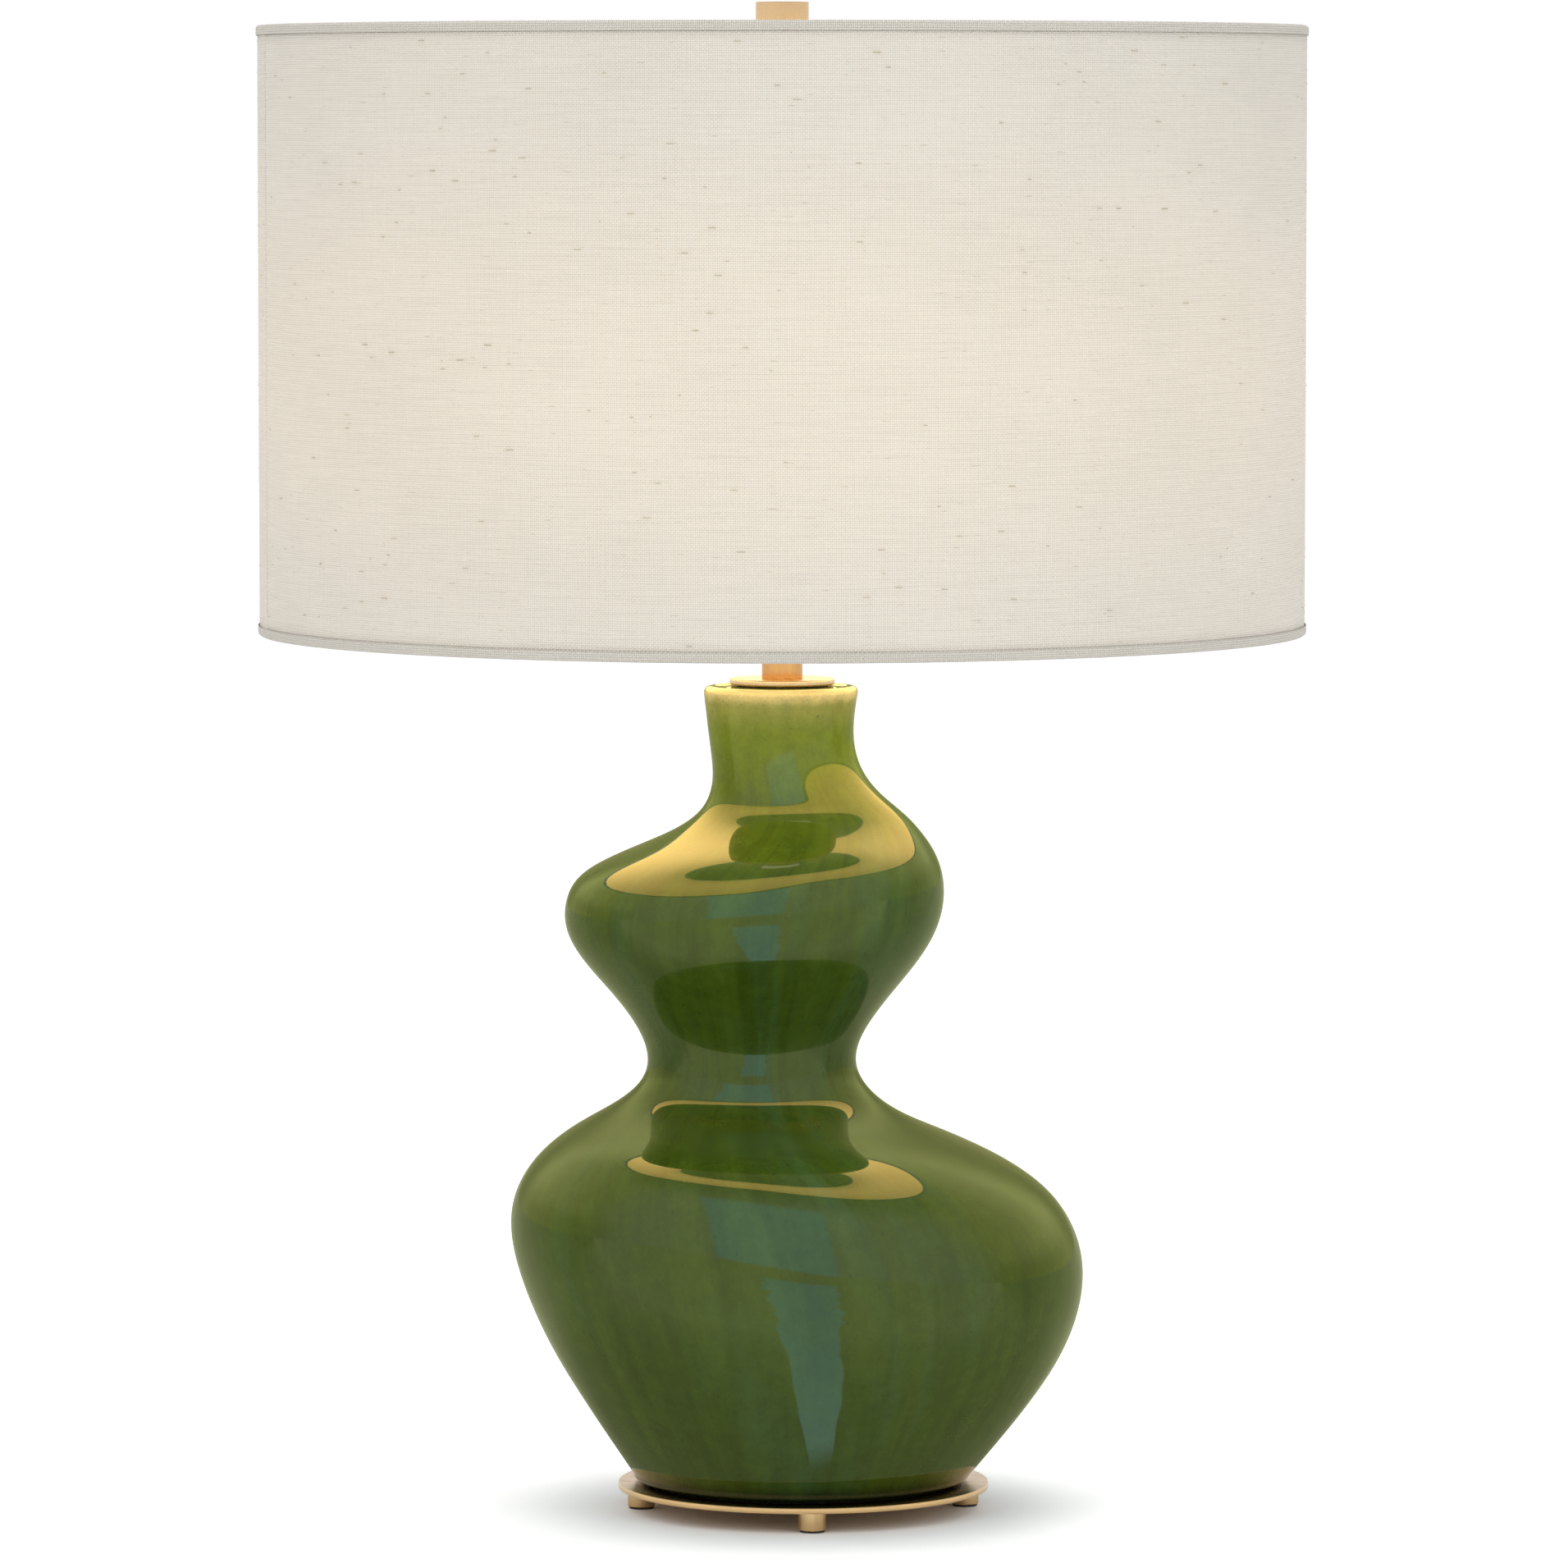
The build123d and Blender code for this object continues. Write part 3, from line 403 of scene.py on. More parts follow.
def tube_along(name, path, radius, sides=16, closed=False):
    """Round wire along a list of points."""
    path = [Vector(p) for p in path]
    count = len(path)
    forward = []
    for i in range(count):
        before = path[i - 1] if closed or i else path[i]
        after = path[(i + 1) % count] if closed or i < count - 1 else path[i]
        forward.append((after - before).normalized())
    side = forward[0].orthogonal().normalized()
    vertices = []
    for spot, ahead in zip(path, forward):
        side = (side - ahead * side.dot(ahead)).normalized()
        up = ahead.cross(side)
        vertices += [spot + radius * (side * across + up * along)
                     for across, along in circle(sides)]
    faces = []
    for i in range(count if closed else count - 1):
        a, b = i * sides, (i + 1) % count * sides
        for j in range(sides):
            k = (j + 1) % sides
            faces.append((a + j, a + k, b + k, b + j))
    if not closed:
        faces.append(tuple(range(sides - 1, -1, -1)))
        faces.append(tuple(range((count - 1) * sides, count * sides)))
    piece = new_piece(name, smooth_mesh(name, vertices, faces))
    sharpen(piece, 60)
    return piece


def dress(piece, material, body, slot, *replaced):
    """Material, body and the nodes that the piece stands for; the finish slot is not used."""
    if material is not None:
        piece.data.materials.clear()
        piece.data.materials.append(material)
    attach(piece, body)
    if replaced:
        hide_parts(*replaced)
    return piece


def sleeve(part, bore, above=0.0, below=0.0):
    """Section of a disc or sleeve as tall as the part, with its outer edges rounded."""
    return [(bore, part.high.z), (part.radius, part.high.z, above),
            (part.radius, part.low.z, below), (bore, part.low.z)]


def turned(name, node, corners, material, body="root", slot="satin_brass", segments=96,
           closed=False, crisp=True, axis=None):
    """Turned piece in place of a CAD node, about the node's middle if no axis is given."""
    axis = extent(node).middle if axis is None else axis
    piece = lathe(name, outline(corners, closed), axis[0], axis[1], segments, closed)
    if crisp:
        sharpen(piece)
    return dress(piece, material, body, slot, node)


def paint(material, *nodes):
    """Give CAD nodes that keep their own shape their material."""
    for node in nodes:
        mesh = NODES[node].data
        mesh.materials.clear()
        mesh.materials.append(material)


# ---------------------------------------------------------------- node trees

FLOAT = "NodeSocketFloat"
VECTOR = "NodeSocketVector"
GEOMETRY = "NodeSocketGeometry"
MATERIAL = "NodeSocketMaterial"
NUMBER_SOCKETS = {float: FLOAT, int: "NodeSocketInt"}


class Value:
    """An output of a node. Arithmetic on it adds the nodes that work it out."""

    def __init__(self, nodes, socket):
        self.nodes = nodes
        self.socket = socket

    def __add__(self, other):
        return self.nodes.maths("ADD", self, other)

    def __sub__(self, other):
        return self.nodes.maths("SUBTRACT", self, other)

    def __rsub__(self, other):
        return self.nodes.maths("SUBTRACT", other, self)

    def __mul__(self, other):
        return self.nodes.maths("MULTIPLY", self, other)

    def __truediv__(self, other):
        return self.nodes.maths("DIVIDE", self, other)

    def __rtruediv__(self, other):
        return self.nodes.maths("DIVIDE", other, self)

    def __abs__(self):
        return self.nodes.maths("ABSOLUTE", self)

    def axis(self, name):
        return self.nodes.take(name, "ShaderNodeSeparateXYZ", {0: self})

    def length(self):
        return self.nodes.take("Value", "ShaderNodeVectorMath", {0: self}, operation="LENGTH")

    def ramp(self, first, last, to_first=0.0, to_last=1.0):
        """Smooth step from one range to another."""
        return self.nodes.take("Result", "ShaderNodeMapRange", {
            "Value": self, "From Min": first, "From Max": last, "To Min": to_first,
            "To Max": to_last}, interpolation_type="SMOOTHSTEP")

    def stretch(self, *scale):
        return self.nodes.take("Vector", "ShaderNodeMapping", {"Vector": self, "Scale": scale})

    def noise(self, scale, detail=3.0, roughness=0.5, distortion=0.0):
        return self.nodes.take("Fac", "ShaderNodeTexNoise", {
            "Vector": self, "Scale": scale, "Detail": detail, "Roughness": roughness,
            "Distortion": distortion})


class Nodes:
    """A node tree, with a short way to add each kind of node that this file uses often."""

    def __init__(self, tree):
        self.tree = tree

    def set(self, socket, value):
        """Link a Value, or the first output of a node, or else write the number or colour."""
        if isinstance(value, bpy.types.Node):
            value = Value(self, value.outputs[0])
        if isinstance(value, Value):
            self.tree.links.new(value.socket, socket)
        else:
            socket.default_value = value

    def add(self, kind, values=None, **settings):
        """New node. values goes by an input's name or place."""
        node = self.tree.nodes.new(kind)
        for name, setting in settings.items():
            setattr(node, name, setting)
        for key, value in (values or {}).items():
            self.set(node.inputs[key], value)
        return node

    def feed(self, node, **values):
        """Set inputs by name, with _ for a space."""
        for name, value in values.items():
            self.set(node.inputs[name.replace("_", " ")], value)

    def take(self, output, kind, values=None, **settings):
        """One output of a new node."""
        return Value(self, self.add(kind, values, **settings).outputs[output])

    def maths(self, operation, a, b=0.0, clamp=False):
        return self.take(0, "ShaderNodeMath", {0: a, 1: b}, operation=operation, use_clamp=clamp)

    def mix(self, factor, first, second, blend_type="MIX"):
        """Blend of two colours."""
        return self.take(2, "ShaderNodeMix", {0: factor, 6: first, 7: second}, data_type="RGBA",
                         blend_type=blend_type)

    def mix_numbers(self, factor, first, second):
        return self.take(0, "ShaderNodeMix", {0: factor, 2: first, 3: second})

    def mix_shaders(self, factor, first, second):
        return self.take(0, "ShaderNodeMixShader", {0: factor, 1: first, 2: second})

    def emission(self, colour, strength=1.0):
        return self.take(0, "ShaderNodeEmission", {"Color": colour, "Strength": strength})

    def vector(self, x=0.0, y=0.0, z=0.0):
        return self.take(0, "ShaderNodeCombineXYZ", {0: x, 1: y, 2: z})

    def on_circle(self, radius, turn, z):
        return self.vector(radius * self.maths("COSINE", turn),
                           radius * self.maths("SINE", turn), z)

    def grey(self, value):
        return self.take(0, "ShaderNodeCombineColor", {0: value, 1: value, 2: value})

    def place(self):
        return self.take("Object", "ShaderNodeTexCoord")

    def attribute(self, name):
        return self.take("Vector", "ShaderNodeAttribute", attribute_name=name)

    def rays(self, *kinds):
        """What Light Path says of a ray, in the order asked for."""
        path = self.add("ShaderNodeLightPath")
        return [Value(self, path.outputs[kind]) for kind in kinds]

    def bump(self, shader, height, strength, distance):
        self.feed(shader, Normal=self.take("Normal", "ShaderNodeBump", {
            "Height": height, "Strength": strength, "Distance": distance}))

    def effect(self, group, **values):
        """Outputs of a node group, in their order."""
        node = self.add("ShaderNodeGroup", node_tree=group)
        self.feed(node, **values)
        return [Value(self, output) for output in node.outputs]

    def surface(self, shader):
        self.feed(self.tree.nodes["Material Output"], Surface=shader)


def node_group(kind, name, inputs, outputs, output_type):
    """New node group, its inputs by name, and its output node.

    An input is given by its default number, or else by its socket's type."""
    tree = bpy.data.node_groups.new(name, kind)
    for label, default in inputs.items():
        socket_type = NUMBER_SOCKETS.get(type(default), default)
        socket = tree.interface.new_socket(label, in_out="INPUT", socket_type=socket_type)
        if socket_type != default:
            socket.default_value = default
    for label in outputs:
        tree.interface.new_socket(label, in_out="OUTPUT", socket_type=output_type)
    nodes = Nodes(tree)
    entry = nodes.add("NodeGroupInput")
    given = {label: Value(nodes, entry.outputs[label]) for label in inputs}
    return nodes, given, nodes.add("NodeGroupOutput")


def effect_group(name, inputs, *outputs):
    """Shader group that gives out numbers only."""
    return node_group("ShaderNodeTree", name, inputs, outputs, FLOAT)


@cache
def weave_group():
    """Plain weave: threads cross over and under, vary in thickness, and hold darker fibres."""
    nodes, given, leave = effect_group(
        "plain weave", {"Cloth": VECTOR, "Pitch": 0.001, "Unevenness": 0.5},
        "Height", "Tone", "Fleck")
    cloth = given["Cloth"]

    def patches(across, up, detail=2.0, roughness=0.5):
        """Noise with so many patches to the metre along the weft and along the warp."""
        return cloth.stretch(across, up, 1.0).noise(1.0, detail, roughness)

    def thread(axis, bend):
        turns = cloth.axis(axis) / given["Pitch"] + bend * given["Unevenness"]
        return nodes.maths("SINE", turns * math.pi)

    warp = thread("X", patches(260.0, 18.0))
    weft = thread("Y", patches(18.0, 260.0))
    slub = patches(28.0, 900.0, roughness=0.6)
    rib = patches(900.0, 40.0, roughness=0.6)
    height = nodes.mix_numbers(nodes.maths("GREATER_THAN", warp * weft, 0.0),
                               abs(warp) * (rib + 0.35), abs(weft) * (slub + 0.55))
    # the tone is lower where the threads dip, which paints shade between them, and varies at random
    # along slubs and patches
    tone = height * 0.55 + (slub * 0.35 + patches(9.0, 14.0, 3.0) * 0.25)
    fibre = patches(120.0, 1500.0, 1.0)
    nodes.feed(leave, Height=height, Tone=tone, Fleck=fibre.ramp(0.70, 0.80))
    return nodes.tree


@cache
def glaze_group():
    """Runs, pools and mottling of a glaze that has flowed down a wall."""
    nodes, given, leave = effect_group(
        "run glaze", {"Flow": VECTOR, "Place": VECTOR, "Streak width": 0.012},
        "Streaks", "Veil", "Mottle", "Height", "Speck")
    flow, place = given["Flow"], given["Place"]
    wide = 0.1 / given["Streak width"]
    runs = flow.stretch(1.0, 1.0, 0.9).noise(wide, 3.0, 0.5, 0.25)
    fine = flow.stretch(6.0, 6.0, 2.2).noise(wide, 3.0, 0.6)
    veil = flow.stretch(1.6, 1.6, 3.4).noise(1.0, 4.0, 0.62, 0.9)
    slow = flow.stretch(1.0, 1.0, 0.5).noise(wide * 0.5, 0.0)
    mottle, grain = place.noise(120.0, 5.0, 0.66), place.noise(900.0, 2.0)
    waves = place.noise(17.0, 0.0)
    speck = nodes.take("Distance", "ShaderNodeTexVoronoi", {"Vector": place, "Scale": 95.0})
    nodes.feed(leave, Streaks=runs * 0.80 + fine * 0.20, Veil=veil.ramp(0.50, 0.72),
               Mottle=mottle * 0.7 + grain * 0.3, Height=waves + slow * 0.05,
               Speck=speck.ramp(0.10, 0.05))
    return nodes.tree


@cache
def grain_group():
    """Fine marks of brushing or turning, drawn out along one direction."""
    nodes, given, leave = effect_group(
        "brushed grain", {"Place": VECTOR, "Scale": 900.0}, "Grain", "Cloud", "Wear")
    place = given["Place"]
    ridge = nodes.take("Pointiness", "ShaderNodeNewGeometry").ramp(0.52, 0.60)
    nodes.feed(leave, Grain=place.noise(given["Scale"], 4.0, 0.6),
               Cloud=place.noise(60.0, 3.0, 0.55),
               Wear=ridge * place.noise(240.0).ramp(0.35, 0.6))
    return nodes.tree


@cache
def dust_group():
    """Thin settled dust on faces that look up."""
    nodes, given, leave = effect_group("settled dust", {"Place": VECTOR, "Amount": 0.3}, "Dust")
    facing = nodes.take("Normal", "ShaderNodeNewGeometry").axis("Z")
    patches = given["Place"].noise(140.0, 4.0, 0.7)
    dust = facing.ramp(0.5, 1.0) * patches.ramp(0.35, 0.7)
    nodes.feed(leave, Dust=dust * given["Amount"])
    return nodes.tree


# ---------------------------------------------------------------- materials

def new_material(name, **plain):
    """Material with a Principled shader; returns the material, its nodes and the shader."""
    material = bpy.data.materials.new(name)
    material.use_nodes = True
    nodes = Nodes(material.node_tree)
    shader = material.node_tree.nodes["Principled BSDF"]
    nodes.feed(shader, **plain)
    return material, nodes, shader


@cache
def glazed_ceramic():
    body = bpy.context.scene.lamp_body
    material, nodes, shader = new_material("glazed_ceramic", Roughness=0.0, IOR=1.5)
    place = nodes.place()
    height = place.axis("Z")
    streaks, veil, mottle, waves, speck = nodes.effect(
        glaze_group(), Flow=nodes.attribute("flow"), Place=place, Streak_width=body.streak_width)
    colour = nodes.mix(streaks.ramp(0.24, 0.76), body.deep_glaze, body.green_glaze)
    colour = nodes.mix(veil * streaks.ramp(0.25, 0.65, 0.2, 0.5), colour, body.blue_glaze)
    # the glaze is thinner and yellower up the neck, and breaks to tan over the lip; both colours
    # are also lighter with painted lamplight from the shade above
    neck = (height + streaks * 0.02).ramp(*NECK_GLAZE_AND_LAMPLIGHT, 0.0, 0.9)
    colour = nodes.mix(neck, colour, body.neck_glaze_lamplit)
    edge = height + mottle * 0.004
    lip_break_and_lamplight = nodes.maths("ADD", edge.ramp(*LIP_BREAK_AND_LAMPLIGHT, 0.0, 0.95), edge.ramp(*LIP_FADE, 0.0, 0.22),
                         clamp=True)
    colour = nodes.mix(lip_break_and_lamplight, colour, body.thin_glaze_lamplit)
    # darker towards the foot, just above the plate
    foot_darkening = (height + streaks * 0.004).ramp(*FOOT_DARKENING, 0.0, 0.8)
    colour = nodes.mix(foot_darkening, colour, body.foot_dark_glaze)
    dish = place.stretch(1.0, 1.0, 0.0).length().ramp(*DISH_RADII) * height.ramp(*DISH_HEIGHTS)
    colour = nodes.mix(dish * 0.85, colour, body.dish_glaze)
    tint = nodes.grey(mottle.ramp(0.30, 0.70, 0.86, 1.16))
    colour = nodes.mix(1.0, colour, tint, "MULTIPLY")
    colour = nodes.mix(speck * 0.35, colour, body.speck)
    nodes.feed(shader, Base_Color=colour)
    nodes.bump(shader, waves, 0.35, 0.0016)
    return material


def brushed_metal(name, colour, worn, roughness, stretch, scale=900.0, dust=0.1):
    """Brushed metal whose marks are drawn out along the axis with the smallest stretch."""
    material, nodes, shader = new_material(name, Metallic=1.0, Anisotropic=0.5)
    place = nodes.place()
    grain, cloud, wear = nodes.effect(grain_group(), Place=place.stretch(*stretch), Scale=scale)
    settled, = nodes.effect(dust_group(), Place=place, Amount=dust)
    base = nodes.mix(cloud.ramp(0.3, 0.7, 0.0, 0.35), colour, tinted(colour, 0.72))
    base = nodes.mix(wear, base, worn)
    base = nodes.mix(settled, base, linear(150, 145, 136))
    marks = grain.ramp(0.25, 0.75, roughness * 0.8, roughness * 1.25)
    nodes.feed(shader, Base_Color=base, Roughness=marks + settled * 0.4)
    nodes.bump(shader, grain, 0.12, 0.0002)
    return material


def satin_brass(name, tint, roughness, stretch, scale=900.0, dust=0.1):
    metal = bpy.context.scene.lamp_metal
    return brushed_metal(name, tinted(metal.brass, *tint), metal.worn_brass, roughness, stretch,
                         scale, dust)


@cache
def upright_brass():
    """Satin brass on turned pieces, brushed up and down."""
    return satin_brass("satin_brass_upright", (1.0,), 0.34, (1.0, 1.0, 0.06))


@cache
def level_brass():
    """Satin brass on plates, brushed from side to side."""
    return satin_brass("satin_brass_level", (1.0,), 0.22, (0.05, 1.0, 1.0))


@cache
def tube_brass_painted_lamplight():
    """Satin brass of the neck tube, deeper and warmer in colour as painted lamplight."""
    return satin_brass("satin_brass_tube_lamplit", (0.96, 0.80, 0.62), 0.30, (1.0, 1.0, 0.06))


@cache
def brass_painted_paler():
    """Satin brass of disc and finial, a paler copy that paints the brighter light falling on them.
    """
    return satin_brass("satin_brass_painted_paler", (1.14, 1.20, 1.42), 0.26, (1.0, 1.0, 0.3), 240.0,
                       dust=0.03)


@cache
def socket_brass():
    metal = bpy.context.scene.lamp_metal
    return brushed_metal("socket_brass", tinted(metal.socket_brass, 1.0), metal.worn_brass, 0.2,
                         (1.0, 1.0, 0.2), dust=0.2)


@cache
def plated_steel():
    steel = tinted(bpy.context.scene.lamp_metal.steel, 1.0)
    return brushed_metal("plated_steel", steel, linear(226, 226, 228), 0.28, (1.0, 1.0, 1.0), 500.0)


@cache
def lamp_cap_metal():
    return brushed_metal("lamp_cap_metal", linear(205, 205, 206), linear(235, 235, 236), 0.22,
                         (1.0, 1.0, 0.3), 700.0)


def dull(name, colour, second, roughness, scale, bump_height):
    """Plain non-metal with a fine mottled surface."""
    material, nodes, shader = new_material(name, Roughness=roughness)
    place = nodes.place()
    mottle = place.noise(scale, 5.0, 0.65)
    settled, = nodes.effect(dust_group(), Place=place, Amount=0.25)
    base = nodes.mix(mottle.ramp(0.3, 0.7), colour, second)
    nodes.feed(shader, Base_Color=nodes.mix(settled, base, linear(168, 164, 156)))
    nodes.bump(shader, mottle, 0.4, bump_height)
    return material


@cache
def felt():
    return dull("felt", linear(30, 30, 30), linear(58, 56, 54), 0.95, 1600.0, 0.0004)


@cache
def gasket_rubber():
    return dull("gasket_rubber", linear(26, 26, 25), linear(40, 40, 38), 0.6, 500.0, 0.0001)


@cache
def insulator():
    return dull("insulator", linear(22, 21, 20), linear(40, 38, 36), 0.32, 300.0, 0.00005)


@cache
def card():
    return dull("card", linear(150, 128, 98), linear(120, 98, 70), 0.85, 700.0, 0.0002)


@cache
def white_wire():
    return dull("white_wire", linear(226, 223, 214), linear(206, 202, 192), 0.35, 400.0, 0.00006)


@cache
def nep_fibre():
    return dull("nep_fibre", linear(190, 176, 150), linear(214, 202, 180), 0.95, 900.0, 0.0001)


@cache
def frosted_glass():
    """Lit bulb: dimmer in gloss than it lights, and just below white to the eye."""
    inner_light = bpy.context.scene.lamp_shade.inner_light
    globe = extent("bulb_glass")
    material, nodes, shader = new_material(
        "frosted_glass", Roughness=0.4, IOR=1.5, Coat_Weight=0.3)
    place = nodes.place()
    frost = place.noise(1200.0)
    lit = place.axis("Z").ramp(globe.low.z, globe.middle.z, 0.55, 1.0)
    warm = nodes.mix(lit, linear(255, 216, 166), linear(255, 243, 222))
    camera, glossy = nodes.rays("Is Camera Ray", "Is Glossy Ray")
    nodes.feed(shader, Emission_Color=warm,
               Base_Color=nodes.mix(frost.ramp(0.3, 0.7), linear(246, 243, 234),
                                    linear(232, 228, 218)),
               Emission_Strength=nodes.mix_numbers(glossy, 2.4 * inner_light, 0.5 * inner_light))
    nodes.surface(nodes.mix_shaders(camera * 0.96, shader, nodes.emission(warm, 0.92)))
    nodes.bump(shader, frost, 0.2, 0.0001)
    return material


def lamp_fall(nodes, reach):
    """How the bulb's light falls off above and below it, from 1 to 0."""
    off = (nodes.place().axis("Z") - BULB_LIGHT_HEIGHT) / reach
    return nodes.maths("EXPONENT", off * off * -1.0)


def cloth(name, colour, dark, relief):
    """Linen with its weave, painted shade on the ground between its threads, and darker fibres."""
    shade = bpy.context.scene.lamp_shade
    material, nodes, shader = new_material(name, Roughness=0.9, Sheen_Weight=0.25,
                                           Sheen_Roughness=0.5, Specular_IOR_Level=0.2)
    height, tone, fleck = nodes.effect(weave_group(), Cloth=nodes.attribute("cloth"),
                                       Pitch=shade.thread_pitch, Unevenness=0.55)
    # painted shade: the base darkens by the given factor where the weave's tone is low
    base = nodes.mix(tone.ramp(0.25, 0.85), tinted(colour, dark), colour)
    nodes.feed(shader, Base_Color=nodes.mix(fleck * 0.55, base, shade.fleck))
    nodes.bump(shader, height, relief, 0.00045)
    return material, nodes, shader, tone


@cache
def linen():
    """The cover's linen, with the bulb's light through it painted as emission at bulb height."""
    shade = bpy.context.scene.lamp_shade
    material, nodes, shader, tone = cloth("linen", shade.linen, 0.75, 0.55)
    # painted light: the glow is emission, strongest at bulb height and on the threads
    through = tone.ramp(0.2, 0.9, 0.7, 1.1) * lamp_fall(nodes, LINEN_GLOW_REACH)
    nodes.feed(shader, Emission_Color=nodes.mix(through, BLACK, shade.lamplight),
               Emission_Strength=shade.glow)
    return material


@cache
def hem_linen():
    return cloth("hem_linen", bpy.context.scene.lamp_shade.hem_linen, 0.74, 0.9)[0]


@cache
def lit_lining():
    """Sheet behind the linen, with the bulb's light on it painted as emission: bright in the glaze,
    softer to look at.
    """
    shade = bpy.context.scene.lamp_shade
    material, nodes, shader = new_material("lit_lining", Roughness=0.55,
                                           Emission_Strength=shade.inner_light)
    fibres = nodes.place().stretch(1.0, 1.0, 0.4).noise(220.0, 5.0, 0.7)
    base = nodes.mix(fibres.ramp(0.3, 0.7), shade.lining, linear(226, 215, 192))
    fall = lamp_fall(nodes, LINING_GLOW_REACH)
    light = nodes.mix(fall, tinted(shade.lamplight, 0.5), shade.lamplight)
    pale = nodes.mix(0.70, light, linear(255, 244, 222))
    nodes.feed(shader, Base_Color=base, Emission_Color=pale)
    camera, glossy, singular, depth = nodes.rays("Is Camera Ray", "Is Glossy Ray",
                                                 "Is Singular Ray", "Ray Depth")
    # painted reflection: to glossy rays it glows brighter and deeper in colour, and dimmer where it
    # is mirrored twice
    mirrored = nodes.emission(nodes.mix(1.0, light, (1.0, 0.97, 0.88, 1.0), "MULTIPLY"),
                              depth.ramp(1.2, 1.8, 1.0, 0.35) * shade.inner_light_mirrored)
    # to the eye its painted light stays below white, so that its fibres and its painted fall of
    # light show
    shown = nodes.mix(fibres.ramp(0.3, 0.7, 0.0, 0.10), pale, BLACK)
    shown = nodes.mix(fall.ramp(0.9, 0.0, 0.0, 0.16), shown, BLACK)
    shown = nodes.emission(shown, shade.inner_light_shown)
    direct = nodes.mix_shaders(camera * 0.85, shader, shown)
    nodes.surface(nodes.mix_shaders(glossy * singular, direct, mirrored))
    nodes.bump(shader, fibres, 0.15, 0.0002)
    return material


# ---------------------------------------------------------------- geometry node trees

def geometry_tree(name, inputs):
    return node_group("GeometryNodeTree", name, {"Geometry": GEOMETRY, **inputs}, ["Geometry"],
                      GEOMETRY)


def finish_tree(nodes, geometry, material, leave):
    """Realize what is instanced and set the material, as the tree's last two steps."""
    real = nodes.add("GeometryNodeRealizeInstances", {0: geometry})
    painted = nodes.add("GeometryNodeSetMaterial", {"Geometry": real, "Material": material})
    nodes.feed(leave, Geometry=painted)
    return nodes.tree


def grow(name, tree, values, solid=0.0):
    """Run a geometry tree once and keep the plain mesh that it makes."""
    seed = new_piece(name + "_seed", bpy.data.meshes.new(name + "_seed"))
    modifier = seed.modifiers.new("grow", "NODES")
    modifier.node_group = tree
    for item in tree.interface.items_tree:
        if item.in_out == "INPUT" and item.name in values:
            modifier[item.identifier] = values[item.name]
    if solid:
        thick = seed.modifiers.new("thickness", "SOLIDIFY")
        thick.thickness = solid
        thick.offset = -1.0
    graph = bpy.context.evaluated_depsgraph_get()
    mesh = bpy.data.meshes.new_from_object(seed.evaluated_get(graph), preserve_all_data_layers=True,
                                           depsgraph=graph)
    mesh.name = name
    bpy.data.objects.remove(seed)
    return new_piece(name, mesh)


def drum_tree():
    """Cloth wrapped once round a drum, with a glued lap where its ends meet."""
    nodes, given, leave = geometry_tree("wrapped cloth", {
        "Radius": 0.24, "Height": 0.28, "Base": 0.4, "Start": 0.0, "Lap": 0.012, "Step": 0.0004,
        "Wander": 0.0002, "Across": 480, "Up": 24, "Material": MATERIAL})
    grid = nodes.add("GeometryNodeMeshGrid", {
        "Size X": 1.0, "Size Y": 1.0, "Vertices X": given["Across"], "Vertices Y": given["Up"]})
    spot = nodes.take(0, "GeometryNodeInputPosition")
    share, rise = spot.axis("X") + 0.5, spot.axis("Y") + 0.5
    sweep = given["Lap"] / given["Radius"] + 2 * math.pi
    turn = given["Start"] + share * sweep
    covered = ((1.0 - share) * sweep).ramp(0.0, 0.10)
    around = nodes.vector(nodes.maths("COSINE", turn), nodes.maths("SINE", turn), rise)
    shift = (around.noise(5.0, 2.0) - 1.0) * given["Wander"]
    radius = given["Radius"] - covered * given["Step"] + shift
    height = rise * given["Height"]
    kept = nodes.add("GeometryNodeStoreNamedAttribute", {
        "Geometry": grid, "Name": "cloth",
        "Value": nodes.vector(share * sweep * given["Radius"], height)},
        data_type="FLOAT_VECTOR", domain="POINT")
    placed = nodes.add("GeometryNodeSetPosition", {
        "Geometry": kept, "Position": nodes.on_circle(radius, turn, height + given["Base"])})
    shaded = nodes.add("GeometryNodeSetShadeSmooth", {"Geometry": placed})
    return finish_tree(nodes, shaded, given["Material"], leave)


def thread_tree():
    """Helical ridge of a screw thread."""
    nodes, given, leave = geometry_tree("screw thread", {
        "Radius": 0.005, "Length": 0.02, "Turns": 8.0, "Ridge": 0.0003, "Base": 0.0,
        "Resolution": 32, "Material": MATERIAL})
    helix = nodes.add("GeometryNodeCurveSpiral", {
        "Resolution": given["Resolution"], "Rotations": given["Turns"],
        "Start Radius": given["Radius"], "End Radius": given["Radius"], "Height": given["Length"]})
    section = nodes.add("GeometryNodeCurvePrimitiveCircle", {
        "Resolution": 6, "Radius": given["Ridge"]})
    ridge = nodes.add("GeometryNodeCurveToMesh", {
        "Curve": helix, "Profile Curve": section, "Fill Caps": True})
    placed = nodes.add("GeometryNodeSetPosition", {
        "Geometry": ridge, "Offset": nodes.vector(z=given["Base"])})
    shaded = nodes.add("GeometryNodeSetShadeSmooth", {"Geometry": placed})
    return finish_tree(nodes, shaded, given["Material"], leave)


